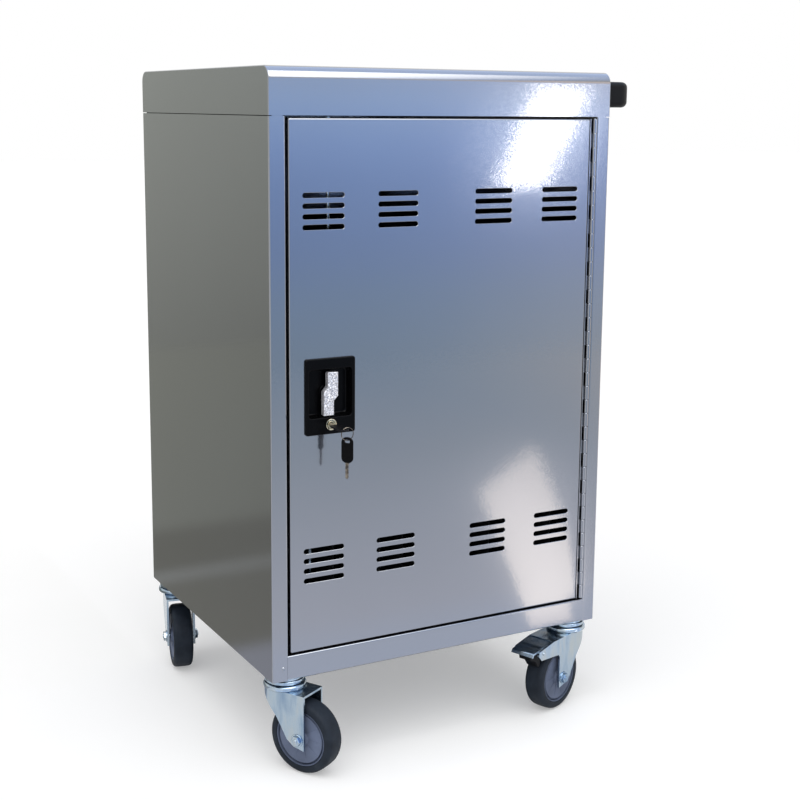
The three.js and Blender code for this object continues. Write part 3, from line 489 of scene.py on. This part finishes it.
def solid(loops):
    bm = bmesh.new()
    loft(bm, loops)
    bmesh.ops.recalc_face_normals(bm, faces=bm.faces)
    mesh = bpy.data.meshes.new("solid")
    bm.to_mesh(mesh)
    bm.free()
    return loose(mesh)


# Cabinet

def side_panel(name, at):
    bm = start()
    path = [
        (STILE - X_OUT, FLANGE - Y_OUT), (STILE - X_OUT, -Y_OUT), (-X_OUT, -Y_OUT),
        (-X_OUT, Y_OUT), (HINGE_STILE - X_OUT, Y_OUT), (HINGE_STILE - X_OUT, Y_OUT - FLANGE),
    ]
    top = CAP_Z - CAP_GAP
    section = folded(path)
    loft(bm, [in_z(section, BODY_Z), in_z(section, top)])
    inner, low, high = FLANGE - X_OUT, top - SHEET, CAP_Z - CAP_SEAT
    flange = [(FLANGE_INSET - X_OUT, low), (inner, low), (inner, high), (FLANGE_LEAN - X_OUT, high)]
    loft(bm, [in_y(flange, FLANGE_INSET - Y_OUT), in_y(flange, Y_OUT - FLANGE_INSET)])
    return finish(name + "_sheet", bm, PAINT, "cabinet", [name], at)


def base_pan():
    bm = start()
    bottom, ledge, inner = BODY_Z + PAN_LIFT, BODY_Z + RAIL_H, KEEPER - Y_OUT
    section = folded([(inner, BODY_Z), (-Y_OUT, BODY_Z), (-Y_OUT, ledge), (inner, ledge)])
    back = [(-a, b) for a, b in section]
    for outline, low, high in ((section, -RAIL_LAP_X, RAIL_X), (back, -RAIL_X, RAIL_LAP_X)):
        loft(bm, [in_x(outline, low), in_x(outline, high)])
    pierced(bm, LOCK_X - ROD_ARM, ROD_Y, KEEPER_HOLE_R, (ledge - SHEET, ledge))
    block(bm, (-PAN_X, PAN_X), (-PAN_Y, PAN_Y), (bottom, FLOOR_Z))
    for x in (-UPSTAND_X, UPSTAND_X):
        block(bm, (x - UPSTAND_HALF, x + UPSTAND_HALF), UPSTAND_Y, (bottom, BODY_Z + FLANGE))
    for x, y, *_ in CASTERS.values():
        block(bm, (x - PAD_X, x + PAD_X), (y - PAD_Y, y + PAD_Y), (bottom, PAD_Z))
    return finish("base_pan_sheet", bm, PAINT, "cabinet", ["base_pan"])


def top_cap():
    bm = start()
    shells = []
    for inset in (0, SHEET):
        x, y, top, bend = X_OUT - inset, Y_OUT - inset, TOP_Z - inset, CAP_BEND - inset
        outline = [(-y, CAP_Z)] + arc(bend - y, top - bend, bend, 180, 90, 12)
        outline += arc(y - bend, top - bend, bend, 90, 0, 12) + [(y, CAP_Z)]
        shells.append(loft(bm, [in_x(outline, -x), in_x(outline, x)]))
    bm.normal_update()
    under = [f for f in bm.faces if all(v.co.z == CAP_Z for v in f.verts)]
    bmesh.ops.delete(bm, geom=under, context="FACES_ONLY")
    joined(bm, *[[left[0], right[0], right[-1], left[-1]] for left, right in shells])
    corners = [bm.edges.get(pair) for ring in shells[0] for pair in zip(ring, ring[1:])]
    bmesh.ops.bevel(bm, geom=corners, offset=CAP_EDGE, segments=4, profile=0.5, affect="EDGES")
    finish("top_cap_shell", bm, PAINT, "cabinet", ["top_cap"])
    bm = start()
    outer = rectangle(X_OUT - SHEET, Y_OUT - SHEET)
    inner = rectangle(X_OUT - FLANGE, Y_OUT - KEEPER)
    low, high = CAP_Z, CAP_Z + SHEET
    loft(bm, [in_z(outer, low), in_z(inner, low), in_z(inner, high), in_z(outer, high)], closed=True)
    pierced(bm, LOCK_X + ROD_ARM, ROD_Y, KEEPER_HOLE_R, (low, high))
    finish("top_cap_lips", bm, PAINT, "cabinet", bevel=0.3)


def push_handle():
    foot, reach, half = X_OUT + PUSH_GAP, X_OUT + PUSH_REACH, PUSH_HALF_L
    path = [(foot, -half), (reach, -half), (reach, half), (foot, half)]
    section = rounded(0, 0, PUSH_W, PUSH_H, PUSH_EDGE, 6)
    bm = start()
    loops = []
    for p, n in bent(path, PUSH_BEND, 12):
        loops.append([(p.x + n.x * a, p.y + n.y * a, PUSH_Z + b) for a, b in section])
    loft(bm, loops)
    return finish("push_handle_grip", bm, BLACK, "cabinet", ["push_handle"])


def corner_rivet():
    bm = start()
    dome = [(0.01, 1.1), (1.2, 1.0), (2.1, 0.6), (2.6, 0.05), (2.6, -0.3), (0.01, -0.3)]
    lathe(bm, dome, 16, facing(RIVET_X, -Y_OUT, BODY_Z + RIVET_RISE))
    return finish("corner_rivet", bm, PAINT, "cabinet")


# Doors

def stadium(x, z, w, h):
    r = h / 2
    right = arc(x + w / 2 - r, z, r, -90, 90, VENT_END_STEPS)
    return right + arc(x - w / 2 + r, z, r, 90, 270, VENT_END_STEPS)


def slots(columns):
    low, high = DOOR_Z[0] + VENT_BLOCK_EDGE, DOOR_Z[1] - VENT_BLOCK_EDGE
    rows = [(i - (VENT_ROWS - 1) / 2) * VENT_ROW_PITCH for i in range(VENT_ROWS)]
    return [(DOOR_MID_X + x, z + row) for x in columns for z in (low, high) for row in rows]


def door_pan(name, vents, lock_hole, node, at):
    front, bend = -Y_OUT, DOOR_BEND

    def ring(inset, y):
        w, h, r = DOOR_W - 2 * inset, DOOR_H - 2 * inset, max(DOOR_CORNER - inset, LEAST_CORNER)
        return in_y(rounded(DOOR_MID_X, DOOR_MID_Z, w, h, r, 3), y)

    bm = start()
    turns = [math.radians(15 * k) for k in range(7)]
    loops = [ring(bend * (1 - math.sin(a)), front + bend * (1 - math.cos(a))) for a in turns]
    loops += [ring(0, front + DOOR_DEPTH), ring(SHEET, front + DOOR_DEPTH), ring(SHEET, front + SHEET)]
    rings = loft(bm, loops, False)
    faces = [[rings[0]], [rings[-1]]]
    sides = [(*VENT_RIM, 0), (*VENT, VENT_RIM_DEPTH), (*VENT, SHEET)]
    for x, z in vents:
        hole = loft(bm, [in_y(stadium(x, z, a, b), front + d) for a, b, d in sides], False)
        faces[0].append(hole[0])
        faces[1].append(hole[-1])
    hole = loft(bm, [in_y(lock_hole, front), in_y(lock_hole, front + SHEET)], False)
    faces[0].append(hole[0])
    faces[1].append(hole[-1])
    filled(bm, faces[0], (0, -1, 0))
    filled(bm, faces[1], (0, 1, 0))
    return finish(name, bm, PAINT, node, [node], at, angle=30)


def doors():
    outer = DOOR_W / 2 - VENT_EDGE
    inner = outer - VENT_COLUMN_PITCH
    lock = rounded(LOCK_X, BEZEL_MID_Z, *LOCK_HOLE, LOCK_HOLE_R, 5)
    door_pan("front_door_pan", slots([-outer, -inner, inner, outer]), lock, "front_door", HERE)
    rear = DOOR_W / 2 - REAR_VENT_EDGE
    lock = arc(REAR_LOCK_X, LOCK_Z, REAR_LOCK_HOLE_R, 0, 345, 23)
    door_pan("rear_door_pan", slots([-rear, rear]), lock, "rear_door", HALF_TURN)


def hinge(side, count, at):
    pitch = DOOR_H / count
    r, place = KNUCKLE_R, Matrix.Translation((HINGE_X, HINGE_Y, 0))
    sheets = {
        "frame": ("cabinet", FRAME_LEAF_X, (HINGE_Y + 2.6, HINGE_Y + LEAF_DEPTH)),
        "door": (side + "_door", DOOR_LEAF_X, (HINGE_Y, HINGE_Y + LEAF_DEPTH)),
    }
    for first, (leaf, (body, xs, ys)) in enumerate(sheets.items()):
        bm = start()
        block(bm, xs, ys, DOOR_Z)
        for i in range(first, count, 2):
            low = DOOR_Z[0] + i * pitch + KNUCKLE_GAP
            high = DOOR_Z[0] + (i + 1) * pitch - KNUCKLE_GAP
            lathe(bm, [(2.9, low), (r, low + 0.4), (r, high - 0.4), (2.9, high)], 16, place)
            if leaf == "frame":
                block(bm, xs, (HINGE_Y + 0.8, HINGE_Y + 3), (low, high))
            else:
                block(bm, (227.6, HINGE_X), (HINGE_Y + 1.6, HINGE_Y + 2.8), (low, high))
        name = f"{side}_hinge_{leaf}_leaf"
        finish(name + "_rolled", bm, PAINT, body, [name], at)
    bm = start()
    (low, high), r = DOOR_Z, HINGE_PIN_R
    lathe(bm, [(0.9, low - 0.3), (r, low + 0.2), (r, high - 0.2), (0.9, high + 0.3)], 12, place)
    finish(f"{side}_hinge_pin_round", bm, STEEL, "cabinet", [f"{side}_hinge_pin"], at)


# Lock

def lock_housing():
    def frame_ring(w, h, r, y):
        return in_y(rounded(LOCK_X, BEZEL_MID_Z, w, h, r, 6), y)

    def pocket_ring(inset, y):
        w, h = POCKET_W - 2 * inset, POCKET_H - 2 * inset
        return in_y(rounded(LOCK_X, LOCK_Z + 1, w, h, POCKET_R, 6), y)

    back, seat, floor = HOUSING_BACK_Y, -Y_OUT - BEZEL_GAP, BEZEL_Y + POCKET_DEPTH
    turns = [math.radians(22.5 * k) for k in range(5)]
    loops = [frame_ring(*HOUSING_TIP, HOUSING_R, back), frame_ring(*HOUSING, HOUSING_R, back - HOUSING_TIP_L)]
    loops += [frame_ring(*HOUSING, HOUSING_R, seat), frame_ring(BEZEL_W, BEZEL_H, BEZEL_R, seat)]
    for a in turns:
        inset = BEZEL_EDGE * (1 - math.cos(a))
        w, h, r = BEZEL_W - 2 * inset, BEZEL_H - 2 * inset, BEZEL_R - inset / 2
        loops.append(frame_ring(w, h, r, BEZEL_Y + BEZEL_EDGE * (1 - math.sin(a))))
    for a in turns:
        loops.append(pocket_ring(-POCKET_RIM * (1 - math.sin(a)), BEZEL_Y + POCKET_RIM * (1 - math.cos(a))))
    for a in turns:
        inset = POCKET_TAPER + POCKET_FILLET * (1 - math.cos(a))
        loops.append(pocket_ring(inset, floor - POCKET_FILLET * (1 - math.sin(a))))
    bm = start()
    loft(bm, loops)
    boss = [(11, 0), (11, 1.2), (10.2, 2), (7, 2), (7, 0)]
    lathe(bm, boss, 32, facing(LOCK_X, floor, LOCK_Z), True)
    return finish("lock_housing_moulding", bm, GLOSS, "front_door", ["lock_housing"])


def lock_handle():
    right = [(10.3, 28.5), (10.3, -3), (4.3, -9.5), (4.3, -28.5)]
    outline = [(LOCK_X + a, LOCK_Z + b) for a, b in right + [(-a, -b) for a, b in right]]
    front = BEZEL_Y - HANDLE_PROUD
    bm = start()
    loft(bm, [in_y(outline, front), in_y(outline, front + HANDLE_T)])
    shaft = [(6, 0), (6, 19.5), (4, 19.5), (4, 24)]
    lathe(bm, shaft, 24, facing(LOCK_X, front + HANDLE_T - 1, LOCK_Z, -1))
    return finish("lock_handle_cast", bm, DIE_CAST, "lock_handle", ["lock_handle"], bevel=1.1, steps=3)


def key_cylinder():
    place = facing(LOCK_X, BEZEL_Y, PLUG_Z)
    bm = start()
    collar = [
        (5.3, -31), (7, -31), (7, 0.1), (7.7, 0.1), (7.7, 1.1),
        (7.4, 1.7), (6.8, 2), (5.7, 2), (5.3, 1.6),
    ]
    lathe(bm, collar, 40, place, True)
    finish("lock_barrel_turned", bm, PLATED, "front_door", ["lock_barrel"])
    bm = start()
    lathe(bm, [(5, -32), (5, 2.2), (4.6, 2.6), (0.2, 2.6)], 32, place)
    finish("lock_plug_turned", bm, PLATED, "key", ["lock_plug"])


def key_head(name, middle, w, length, hole, thickness, to_space, material, body, nodes, at=HERE):
    bm = start()
    layers = [(1.0, -0.5), (0.3, -0.36), (0, -0.2), (0, 0.2), (0.3, 0.36), (1.0, 0.5)]
    loops = []
    for i, h in layers:
        outline = rounded(*middle, w - 2 * i, length - 2 * i, KEY_CORNER - i, 8)
        loops.append(to_space(outline, h * thickness))
    rings = loft(bm, loops, False)
    bore = loft(bm, [to_space(hole, -thickness / 2), to_space(hole, thickness / 2)], False)
    normal = Vector(to_space([(0, 0)], 1)[0]) - Vector(to_space([(0, 0)], 0)[0])
    filled(bm, [rings[0], bore[0]], -normal)
    filled(bm, [rings[-1], bore[1]], normal)
    return finish(name, bm, material, body, nodes, at)


# A wire that runs twice round and steps sideways half way.
def key_ring():
    bm = start()
    loops = []
    for i in range(RING_STEPS + 1):
        a = 4 * math.pi * i / RING_STEPS
        lean = RING_WIRE_R * math.tanh(6 * (i / RING_STEPS - 0.5) * 2)
        out = Vector((math.cos(a), 0, math.sin(a)))
        centre = Vector((RING_X, KEY_HOLE_Y + lean, RING_Z)) + out * RING_R
        wire = arc(0, 0, RING_WIRE_R, 0, 315, 7)
        loops.append([centre + out * p + Vector((0, q, 0)) for p, q in wire])
    loft(bm, loops)
    finish("key_ring_split", bm, KEY_METAL, "key_ring", ["key_ring"])


def keys():
    hole = arc(LOCK_X, KEY_HOLE_Y, KEY_HOLE_R, 0, 345, 23)
    key_head(
        "front_key_grip", (LOCK_X, KEY_END_Y + KEY_L / 2), KEY_W, KEY_L, hole, KEY_T,
        lambda points, h: in_z(points, PLUG_Z + h), BLACK, "key", ["front_key_head"],
    )
    refined("front_key_blade", KEY_METAL, "key", 0.3)
    key_ring()
    hang = Matrix.Translation((RING_X, KEY_HOLE_Y, RING_Z - RING_R))
    spare = hang @ Matrix.Rotation(-math.pi / 4, 4, "Z")
    hole = rounded(0, SPARE_HOLE_MID, SPARE_HOLE_W, SPARE_HOLE_H, SPARE_HOLE_R, 6)
    key_head(
        "spare_key_grip", (0, SPARE_MID), SPARE_W, SPARE_L, hole, SPARE_T,
        in_y, GLOSS, "spare_key", ["spare_key_head"], spare,
    )
    teeth = [
        (2.4, -22), (2.4, -31.5), (1.2, -33), (2.2, -35), (0.7, -37), (2.3, -39), (1.0, -41),
        (2.0, -43.5), (1.0, -45.5), (1.9, -48), (0.2, -51.3), (-2.4, -49.5), (-2.4, -22),
    ]
    bm = start()
    loft(bm, [in_y(teeth, -SPARE_BLADE_HALF_T), in_y(teeth, SPARE_BLADE_HALF_T)])
    finish("spare_key_cut", bm, KEY_METAL, "spare_key", ["spare_key_blade"], spare, bevel=0.2, steps=1)


def rear_lock():
    bm = start()
    flange = [
        (4.3, -22.6), (9, -22.6), (9, 0.2), (12, 0.2), (12, 1),
        (11.4, 1.7), (10, 2), (4.8, 2), (4.3, 1.6),
    ]
    lathe(bm, flange, 36, HALF_TURN @ facing(REAR_LOCK_X, -Y_OUT, LOCK_Z), True)
    finish("rear_barrel_turned", bm, PLATED, "rear_door", ["rear_lock_barrel"])
    refined("rear_lock_cam", ZINC, "rear_cam", 0.4)


# Inside

def outlets():
    for tier, z in STRIPS.items():
        bm = start()
        for i in range(OUTLETS):
            x = (i - (OUTLETS - 1) / 2) * OUTLET_PITCH
            outer = rounded(x, z, OUTLET_W, OUTLET_H, 1.5, 3)
            holes = [
                rounded(x - 3.4, z + 3.5, 1.8, 8, 0.5, 2), rounded(x + 3.4, z + 3.5, 1.8, 6.6, 0.5, 2),
                arc(x, z - 6, 2.3, 0, 330, 11),
            ]
            ring = loft(bm, [in_y(outer, OUTLET_FLOOR), in_y(outer, OUTLET_FACE)], False)
            wells = [loft(bm, [in_y(h, OUTLET_FLOOR + 0.2), in_y(h, OUTLET_FACE)], False) for h in holes]
            filled(bm, [ring[1]] + [well[1] for well in wells], (0, 1, 0))
            for floor_ring in [ring[0]] + [well[0] for well in wells]:
                bm.faces.new(floor_ring)
        finish(f"{tier}_outlet_faces", bm, BLACK, "cabinet")


def inside():
    for node in ("device_shelf", "cable_partition"):
        refined(node, PAINT, "cabinet", 0.4)
    for tier in STRIPS:
        refined(f"{tier}_divider_rack", DARK, "cabinet", 0.5)
        refined(f"{tier}_power_strip", DARK, "cabinet", 0.8)
        refined(f"{tier}_strip_switch", BLACK, f"{tier}_switch", 0.6, 3)
    refined("power_inlet", BLACK, "cabinet", 0.4)
    outlets()
    for node in ("upper_rod_guide", "lower_rod_guide"):
        refined(node, ZINC, "front_door", 0.4)
    refined("lock_cam", ZINC, "lock_handle", 0.4)
    for side in ("upper", "lower"):
        refined(f"{side}_lock_rod", ZINC, f"{side}_rod", 0.3)


# Casters

def fork_outline(tail, inset):
    half = FORK_HALF - inset
    return arc(FORK_HALF - RACE_R, 0, half, 90, 270, 28) + [(tail, -half), (tail, half)]


def fork_side(braked):
    arm = [
        (ARM_START, CROWN_Z), (ARM_END - 1, CROWN_Z - 6), (ARM_END, CROWN_Z - 12),
        (ARM_END - 7, CROWN_Z - 20), (FORK_TAIL + 4, CROWN_Z - 24), (FORK_TAIL, CROWN_Z - 28),
    ]
    return (arm if braked else [(FORK_TAIL, CROWN_Z)]) + [
        (FORK_TAIL, AXLE_Z - 13), (TRAIL - 6, AXLE_Z - 9.5), (TRAIL - 16.5, AXLE_Z - 2), (2, CROWN_Z - 38),
        (-20, CROWN_Z - 12), (-RACE_R - 0.1, CROWN_Z - FORK_T), (-RACE_R - 0.1, CROWN_Z),
    ]


def fork_mesh(braked, at):
    tail = ARM_END if braked else FORK_TAIL
    past = ARM_END + ARM_SPARE
    outer, inner = fork_outline(tail, 0), fork_outline(past, FORK_T)
    shell = solid([in_z(outer, 0), in_z(outer, CROWN_Z)])
    shell = cut(shell, solid([in_z(inner, -9), in_z(inner, CROWN_Z - FORK_T)]), "DIFFERENCE")
    side = fork_side(braked)
    shell = cut(shell, solid([in_y(side, -FORK_HALF - 1), in_y(side, FORK_HALF + 1)]), "INTERSECT")
    if braked:
        window = rounded((ARM_START + past) / 2, 0, past - ARM_START, 2 * (FORK_HALF - FORK_T), 1, 2)
        shell = cut(shell, solid([in_z(window, CROWN_Z - 5), in_z(window, CROWN_Z + 5)]), "DIFFERENCE")
    mesh = shell.data
    bpy.data.objects.remove(shell)
    mesh.transform(SHIFT @ at)
    return mesh


def swivel_head(name, at):
    bm = start()
    post = [
        (0.2, 105), (7.5, 105), (9, 106.5), (9, 109.7), (6, 109.7), (6, RACE_Z),
        (24, RACE_Z), (26.2, 121.6), (27, 123), (27, 125.6), (26.2, 126.6), (24.6, 127),
        (24.6, 129.7), (6, 129.7), (6, 147.5), (5, 148.5), (0.2, 148.5),
    ]
    lathe(bm, post, 48)
    nut = arc(0, 0, 10.9, 0, 300, 5)
    loft(bm, [in_z(nut, PAD_Z + 0.3), in_z(nut, PAD_Z + 9)])
    finish(f"{name}_stem_turned", bm, ZINC, "cabinet", [f"{name}_caster_stem"], at, angle=40)
    bm = start()
    cup = [
        (6.3, CROWN_Z - 0.2), (27.5, CROWN_Z - 0.2), (RACE_R, 114.5), (RACE_R, 117.6),
        (28.2, 119.4), (26, 120.5), (6.3, 120.5),
    ]
    lathe(bm, cup, 48, HERE, True)
    finish(f"{name}_swivel_cup", bm, ZINC, f"{name}_fork", (), at, angle=40)


def axle(name, at):
    bm = start()
    across = facing(TRAIL, 0, AXLE_Z)
    lathe(bm, [(4, -25), (4, 25)], 24, across)
    for sign in (-1, 1):
        ring = [(4.2, 22.1), (9, 22.1), (9, 23), (8.6, 23.4), (4.2, 23.4)]
        washer = [(r, sign * h) for r, h in ring]
        lathe(bm, washer if sign > 0 else washer[::-1], 32, across, True)
        hexagon = arc(0, 0, 7.4, 0, 300, 5)
        loops = [[across @ Vector((a * k, b * k, sign * h)) for a, b in hexagon]
                 for k, h in ((1, 23.3), (1, 26.2), (0.88, 27))]
        loft(bm, loops)
        lathe(bm, [(3.6, sign * 26.8), (3.6, sign * 27.4), (3, sign * 27.9)], 20, across)
    finish(f"{name}_axle_bolt", bm, ZINC, f"{name}_fork", [f"{name}_axle"], at)


def both_sides(half):
    return [(r, -y) for r, y in reversed(half)] + half


def wheel(name, at):
    across = facing(TRAIL, 0, AXLE_Z)
    core = [
        (38.4, 6), (38.4, 13.6), (37.9, 14.4), (37.2, 14.4), (36.7, 13.6), (36.5, 8), (34.4, 8), (34.2, 13),
        (33.6, 13.6), (32.8, 13.2), (13, 12.4), (11.4, 13.2), (10.6, 15.6), (9.8, 16.4), (4.3, 16.5),
    ]
    bm = start()
    lathe(bm, both_sides(core), 72, across, True)
    rib = [(12, -0.9), (32.4, -0.9), (32.4, 0.9), (12, 0.9)]
    layers = [(1, 11.5), (1, 13), (0.5, 13.3)]
    for i in range(RIBS):
        turn = across @ Matrix.Rotation(2 * math.pi * i / RIBS, 4, "Z")
        for sign in (-1, 1):
            loft(bm, [[turn @ Vector((a, b * k, sign * h)) for a, b in rib] for k, h in layers])
    finish(f"{name}_wheel_core", bm, CORE, f"{name}_wheel", [f"{name}_wheel"], at, angle=40)
    tread = [(49.5, 5), (49.2, 8)] + shoulder(43.2, 9, 6)
    flank = [(41.4, 15.1), (39.6, 15.1), (38.8, 14.6), (38.6, 13.6), (38.6, 6)]
    bm = start()
    lathe(bm, both_sides(tread + flank), 72, across, True)
    finish(f"{name}_tyre_tread", bm, RUBBER, f"{name}_wheel", [f"{name}_tyre"], at, angle=40)


def shoulder(r, y, size):
    turns = [math.radians(a) for a in (80, 60, 40, 20, 0)]
    return [(r + size * math.sin(a), y + size * math.cos(a)) for a in turns]


def brake_pedal(name, at):
    x, z = PEDAL_X, PEDAL_Z
    path = [(ARM_START + 2, z + 9.6), (x - 2, z + 8), (x + 3, z + 7), (x + 22.6, z + 5), (x + 25.2, z)]
    section = folded(path, 2.6, 2.5)
    bm = start()
    loft(bm, [in_y(section, -PEDAL_HALF), in_y(section, PEDAL_HALF)])
    lathe(bm, [(2.4, -23.2), (3, -22.6), (3, 22.6), (2.4, 23.2)], 20, facing(x, 0, z))
    finish(f"{name}_pedal_tread", bm, ZINC, f"{name}_brake_pedal", [f"{name}_brake_pedal"], at, bevel=0.5)
    bm = start()
    shoe = [
        (x - 5.4, z + 5), (x + 19, z + 3), (x + 17, z - 9),
        (x + 5, z - 14), (x - 2.9, z - 25), (x - 7.9, z - 23),
    ]
    loft(bm, [in_y(shoe, -SHOE_HALF), in_y(shoe, SHOE_HALF)])
    finish(f"{name}_pedal_shoe", bm, BLACK, f"{name}_brake_pedal", (), at, bevel=0.8)


def casters():
    for name, (x, y, heading, braked) in CASTERS.items():
        at = Matrix.Translation((x, y, 0)) @ Matrix.Rotation(math.radians(heading), 4, "Z")
        swivel_head(name, at)
        fork = f"{name}_fork"
        placed(fork + "_pressing", fork_mesh(braked, at), ZINC, fork, [fork], 0.9, 3, 40)
        axle(name, at)
        wheel(name, at)
        if braked:
            brake_pedal(name, at)


side_panel("left_side_panel", HERE)
side_panel("right_side_panel", HALF_TURN)
base_pan()
top_cap()
push_handle()
corner_rivet()
doors()
hinge("front", 35, HERE)
hinge("rear", 7, HALF_TURN)
lock_housing()
lock_handle()
key_cylinder()
keys()
rear_lock()
inside()
casters()


# Studio

def sheet(name, corners):
    mesh = bpy.data.meshes.new(name)
    mesh.from_pydata(corners, [], [range(len(corners))])
    made = bpy.data.objects.new(name, mesh)
    bpy.context.collection.objects.link(made)
    return made


def floor():
    shader = Shader("floor", 0.0, 0.9, Emission_Color=(1, 1, 1, 1), Emission_Strength=0.3)
    shader.colour(shader.noise(0.7), [(0.3, (0.74, 0.74, 0.74)), (0.7, (0.76, 0.76, 0.76))])
    sheet("floor", level((-20, 20), (-20, 20), 0)).data.materials.append(shader.material)


# A card that only shows in reflections, shaded along one axis and, where asked, tinted along X.
def card(name, corners, axis, strength, stops, across=None):
    shader = Shader(name, Emission_Strength=strength)
    shader.bsdf.inputs["Base Color"].default_value = (0, 0, 0, 1)
    spot = shader.node("ShaderNodeTexCoord").outputs["Generated"]
    split = shader.node("ShaderNodeSeparateXYZ")
    shader.link(spot, split.inputs["Vector"])
    glow = shader.ramp(split.outputs[axis], stops)
    if across:
        tint = shader.node("ShaderNodeVectorMath")
        tint.operation = "MULTIPLY"
        shader.link(glow, tint.inputs[0])
        shader.link(shader.ramp(split.outputs["X"], across), tint.inputs[1])
        glow = tint.outputs["Vector"]
    shader.link(glow, shader.bsdf.inputs["Emission Color"])
    made = sheet(name, corners)
    made.data.materials.append(shader.material)
    made.visible_camera = made.visible_diffuse = made.visible_shadow = False


def upright(low, high, y, top):
    return [(low, y, 0), (high, y, 0), (high, y, top), (low, y, top)]


def level(xs, ys, z):
    return [(xs[0], ys[0], z), (xs[1], ys[0], z), (xs[1], ys[1], z), (xs[0], ys[1], z)]


def world():
    made = bpy.data.worlds.new("studio")
    bpy.context.scene.world = made
    made.use_nodes = True
    tree = made.node_tree
    sky = tree.nodes["Background"]
    sky.inputs["Color"].default_value = (1, 1, 1, 1)
    path = tree.nodes.new("ShaderNodeLightPath")
    seen = path.outputs["Is Camera Ray"]
    for kind in ("Is Glossy Ray", "Is Transmission Ray"):
        either = tree.nodes.new("ShaderNodeMath")
        either.operation = "MAXIMUM"
        tree.links.new(seen, either.inputs[0])
        tree.links.new(path.outputs[kind], either.inputs[1])
        seen = either.outputs[0]
    glow = tree.nodes.new("ShaderNodeMapRange")
    glow.inputs["To Min"].default_value = 0.5
    glow.inputs["To Max"].default_value = 1.0
    tree.links.new(seen, glow.inputs["Value"])
    tree.links.new(glow.outputs["Result"], sky.inputs["Strength"])


def daylight():
    data = bpy.data.lights.new("daylight", "SUN")
    data.energy = 1.7
    data.angle = math.radians(80)
    made = bpy.data.objects.new("daylight", data)
    made.rotation_euler = (math.radians(25), math.radians(-15), 0)
    bpy.context.collection.objects.link(made)


def studio():
    world()
    floor()
    daylight()
    card("front_card", upright(-1.5, 4, -2.8, 2), "Z", 2.72, [
        (0.0, (0.29, 0.375, 0.46)), (0.12, (0.27, 0.375, 0.53)), (0.2, (0.25, 0.36, 0.61)),
        (0.32, (0.27, 0.41, 0.74)), (0.385, (0.34, 0.51, 0.9)), (0.45, (0.46, 0.65, 1.0)),
        (0.65, (0.59, 0.59, 0.59)),
    ], [
        (0.45, (0.625, 0.625, 0.625)), (0.51, (0.69, 0.68, 0.675)), (0.545, (0.73, 0.7, 0.695)),
        (0.57, (0.82, 0.755, 0.725)), (0.645, (1.0, 0.85, 0.7625)),
    ])
    card("front_floor", level((-1.5, 4), (-2.8, -0.3), 0.003), "Y", 1.86, [
        (0.0, (0.41, 0.52, 0.65)), (0.44, (0.56, 0.61, 0.66)),
        (0.84, (0.78, 0.79, 0.86)), (0.9, (0.78, 0.84, 0.98)),
    ], [(0.49, (0.645, 0.645, 0.645)), (0.536, (0.74, 0.7, 0.66)), (0.627, (1.0, 0.82, 0.68))])
    card("rear_card", upright(-4, -0.3, 3, 2), "Z", 2.2, [
        (0.0, (0.29, 0.295, 0.26)), (0.5, (0.46, 0.475, 0.42)), (0.62, (0.46, 0.475, 0.42)), (1.0, (1, 1, 1)),
    ], [(0.1, (1, 1, 1)), (0.5, (0.4545, 0.4545, 0.4545))])
    card("rear_floor", level((-4, -0.31), (0, 3), 0.003), "Y", 3.0, [
        (0.06, (0.34, 0.35, 0.4)), (0.08, (0.19, 0.185, 0.155)), (0.18, (0.18, 0.177, 0.148)),
        (0.2, (0.28, 0.285, 0.27)), (0.22, (0.16, 0.157, 0.13)), (0.28, (0.16, 0.157, 0.13)),
        (0.31, (0.24, 0.245, 0.21)), (1.0, (0.285, 0.29, 0.245)),
    ], [(0.1, (1, 1, 1)), (0.6, (0.3333, 0.3333, 0.3333))])
    # Painted shade: a dark card on the floor under the cabinet, seen only in reflections, stands in for the
    # shadowed floor there, so the cabinet's underside and the brake pedals' tops reflect dark.
    card("under_cart_painted_shade", level((-0.26, 0.285), (-0.2, 0.24), 0.004), "Y", 1.0, [
        (0.0, (0.02, 0.05, 0.09)), (1.0, (0.01, 0.02, 0.03)),
    ])
    card("ceiling", level((-1.5, 3), (-1.6, 1), 2.5), "X", 2.0, [
        (0.0, (0.62, 0.74, 1)), (1.0, (0.5, 0.6, 0.8)),
    ])
    softbox = [(-1.2, -2.75, 1.55), (1.6, -2.75, 1.55), (1.6, -0.75, 2.45), (-1.2, -0.75, 2.45)]
    card("softbox", softbox, "X", 4.2, [(0.7, (1, 1, 1)), (0.95, (0.22, 0.26, 0.34))])
    window = [(1.07, -1.82, 0.67), (1.23, -1.82, 0.67), (1.37, -1.82, 0.94), (1.2, -1.82, 0.95)]
    card("window", window, "Z", 7.5, [(0.0, (1, 0.98, 1)), (1.0, (1, 1, 1))])
    patch = [
        (0.31, -0.495), (0.395, -0.495), (0.45, -0.58), (0.5, -0.62), (0.59, -0.755),
        (0.68, -0.9), (1.06, -1.59), (0.69, -1.27), (0.49, -0.86), (0.44, -0.75),
    ]
    card("lit_floor", in_z(patch, 0.006), "Y", 2.8, [
        (0.0, (0.78, 0.72, 0.68)), (0.9, (1, 0.92, 0.85)), (1.0, (0.78, 0.72, 0.7)),
    ])


def camera():
    data = bpy.data.cameras.new("camera")
    data.sensor_width = SENSOR
    data.lens = LENS
    data.shift_y = CAMERA_SHIFT
    seen = bpy.data.objects.new("camera", data)
    seen.location = CAMERA_AT
    seen.rotation_euler = [math.radians(a) for a in CAMERA_TURN]
    bpy.context.collection.objects.link(seen)
    bpy.context.scene.camera = seen


camera()
studio()
bpy.context.scene.view_settings.view_transform = "Standard"
